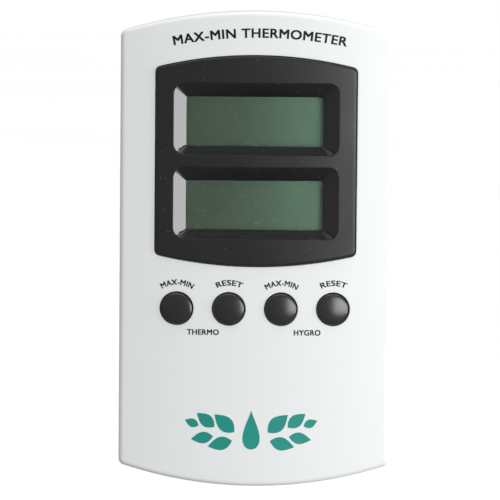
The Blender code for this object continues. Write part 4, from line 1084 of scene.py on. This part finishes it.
def make_floor():
    """A pale floor well below the object, which doesn't colour it."""
    mesh = bpy.data.meshes.new("studio_floor")
    shape = bmesh.new()
    bmesh.ops.create_grid(shape, x_segments=1, y_segments=1, size=FLOOR_HALF_SIZE)
    shape.to_mesh(mesh)
    shape.free()
    finish = Finish("studio_floor", (0.93, 0.93, 0.93), 0.6)
    finish.vary_colour(0.4, 0.01)
    mesh.materials.append(finish.done())
    floor = bpy.data.objects.new("studio_floor", mesh)
    floor.location = (0.0, 0.0, CAD_BOX[0][2] - FLOOR_BELOW)
    floor.visible_glossy = False
    floor.visible_diffuse = False
    bpy.context.scene.collection.objects.link(floor)


def make_softbox(name, place, aim, size, power):
    light = bpy.data.lights.new(name, "AREA")
    light.shape = "RECTANGLE"
    light.size, light.size_y = size
    light.energy = power
    lamp = bpy.data.objects.new(name, light)
    lamp.location = place
    away = Vector(place) - Vector(aim)
    lamp.rotation_euler = away.to_track_quat("Z", "Y").to_euler()
    bpy.context.scene.collection.objects.link(lamp)


def make_world():
    """Pale sky that is white to the camera, and lights the object more from the right and from above."""
    world = bpy.data.worlds.new("studio")
    world.use_nodes = True
    tree = world.node_tree
    background = tree.nodes["Background"]
    place = tree.nodes.new("ShaderNodeTexCoord")
    slope = tree.nodes.new("ShaderNodeVectorMath")
    slope.operation = "DOT_PRODUCT"
    slope.inputs[1].default_value = SKY_SLOPE
    tree.links.new(place.outputs["Generated"], slope.inputs[0])
    level = tree.nodes.new("ShaderNodeMath")
    level.inputs[1].default_value = SKY_LEVEL
    tree.links.new(slope.outputs["Value"], level.inputs[0])
    rays = tree.nodes.new("ShaderNodeLightPath")
    seen = tree.nodes.new("ShaderNodeMix")
    seen.inputs["B"].default_value = 1.0
    tree.links.new(rays.outputs["Is Camera Ray"], seen.inputs["Factor"])
    tree.links.new(level.outputs["Value"], seen.inputs["A"])
    tree.links.new(seen.outputs["Result"], background.inputs["Strength"])
    background.inputs["Color"].default_value = (1.0, 1.0, 1.0, 1.0)
    bpy.context.scene.world = world


def make_light():
    make_world()
    aim = (0.0, CASE_FRONT, CASE_MIDDLE.z)
    for name, (place, size, power) in SOFTBOXES.items():
        make_softbox(name, place, aim, size, power)
    data = bpy.data.lights.new("overhead_light", "SUN")
    data.energy = OVERHEAD_STRENGTH
    data.angle = OVERHEAD_SPREAD
    overhead = bpy.data.objects.new("overhead_light", data)
    bpy.context.scene.collection.objects.link(overhead)


def make_camera():
    """The camera, nearly square to the front, a little above it and slightly rolled."""
    data = bpy.data.cameras.new("photo_camera")
    data.lens = CAMERA_LENS
    data.sensor_width = SENSOR_WIDTH
    camera = bpy.data.objects.new("photo_camera", data)
    target = CASE_MIDDLE + TARGET
    level = math.cos(CAMERA_ELEVATION)
    back = Vector(
        (
            math.sin(CAMERA_AZIMUTH) * level,
            -math.cos(CAMERA_AZIMUTH) * level,
            math.sin(CAMERA_ELEVATION),
        )
    )
    right = Vector((0.0, 0.0, 1.0)).cross(back).normalized()
    up = back.cross(right)
    rolled_right = math.cos(CAMERA_ROLL) * right + math.sin(CAMERA_ROLL) * up
    rolled_up = back.cross(rolled_right)
    turn = Matrix((rolled_right, rolled_up, back)).transposed().to_4x4()
    camera.matrix_world = Matrix.Translation(target + back * CAMERA_DISTANCE) @ turn
    bpy.context.scene.collection.objects.link(camera)
    bpy.context.scene.camera = camera


def main():
    bpy.context.scene.view_settings.view_transform = "Standard"
    white = plastic(
        "white_case_moulding",
        (0.775, 0.797, 0.795),
        0.31,
        sink=0.006 * MM,
        specular=0.22,
        uneven=0.004,
        gloss_change=0.012,
    )
    satin = plastic(
        "bezel_satin", (0.012, 0.0125, 0.0125), 0.34, grain=0.3 * MM, uneven=0.06, specular=0.33, dust=0.3
    )
    polished = plastic(
        "bezel_polished", (0.015, 0.015, 0.0155), 0.07, depth=0.0005 * MM, sink=0.0, gloss_change=0.02
    )
    rubber = plastic(
        "button_moulding", (0.007, 0.0075, 0.0075), 0.245, uneven=0.06, specular=0.65, gloss_change=0.02
    )
    ink = plastic("navy_ink", (0.006, 0.005, 0.012), 0.45, specular=0.2)
    teal = plastic("teal_ink", (0.0, 0.255, 0.205), 0.42)
    finishes = {
        "white_case": white,
        "dark_bezel": satin,
        "button_grey": rubber,
        "lens_clear": clear_lens("lens_acrylic"),
        "lcd_glass": lcd_panel("unpowered_lcd"),
        "zebra_rubber": layered_rubber("layered_rubber"),
        "holder_plastic": plastic("holder_moulding", (0.70, 0.70, 0.68), 0.48),
        "board_green": board_finish("solder_mask"),
        "chip_epoxy": plastic("potting_resin", (0.012, 0.012, 0.013), 0.25, grain=0.8 * MM),
        "switch_plastic": plastic("switch_moulding", (0.022, 0.022, 0.023), 0.42),
        "tin_steel": metal("tinned_steel", (0.70, 0.70, 0.68), 0.30),
        "nickel_steel": metal("nickel_plate", (0.68, 0.66, 0.61), 0.26),
        "cell_jacket": battery_jacket("cell_sleeve"),
        "red_wire": plastic("red_insulation", (0.52, 0.02, 0.015), 0.42),
        "black_wire": plastic("black_insulation", (0.018, 0.018, 0.018), 0.42),
        "sensor_white": plastic("sensor_ceramic", (0.72, 0.71, 0.65), 0.55, grain=0.2 * MM),
        "thermistor_black": plastic("thermistor_resin", (0.015, 0.015, 0.015), 0.33),
        "screw_zinc": metal("zinc_plate", (0.62, 0.62, 0.60), 0.34),
    }
    paint_cad_nodes(finishes)
    make_front_cover(white)
    make_bezel(satin, polished)
    for name, x in BUTTON_X.items():
        make_button(name, x, rubber)
    make_labels(ink)
    make_emblem(teal)
    make_floor()
    make_light()
    make_camera()


main()
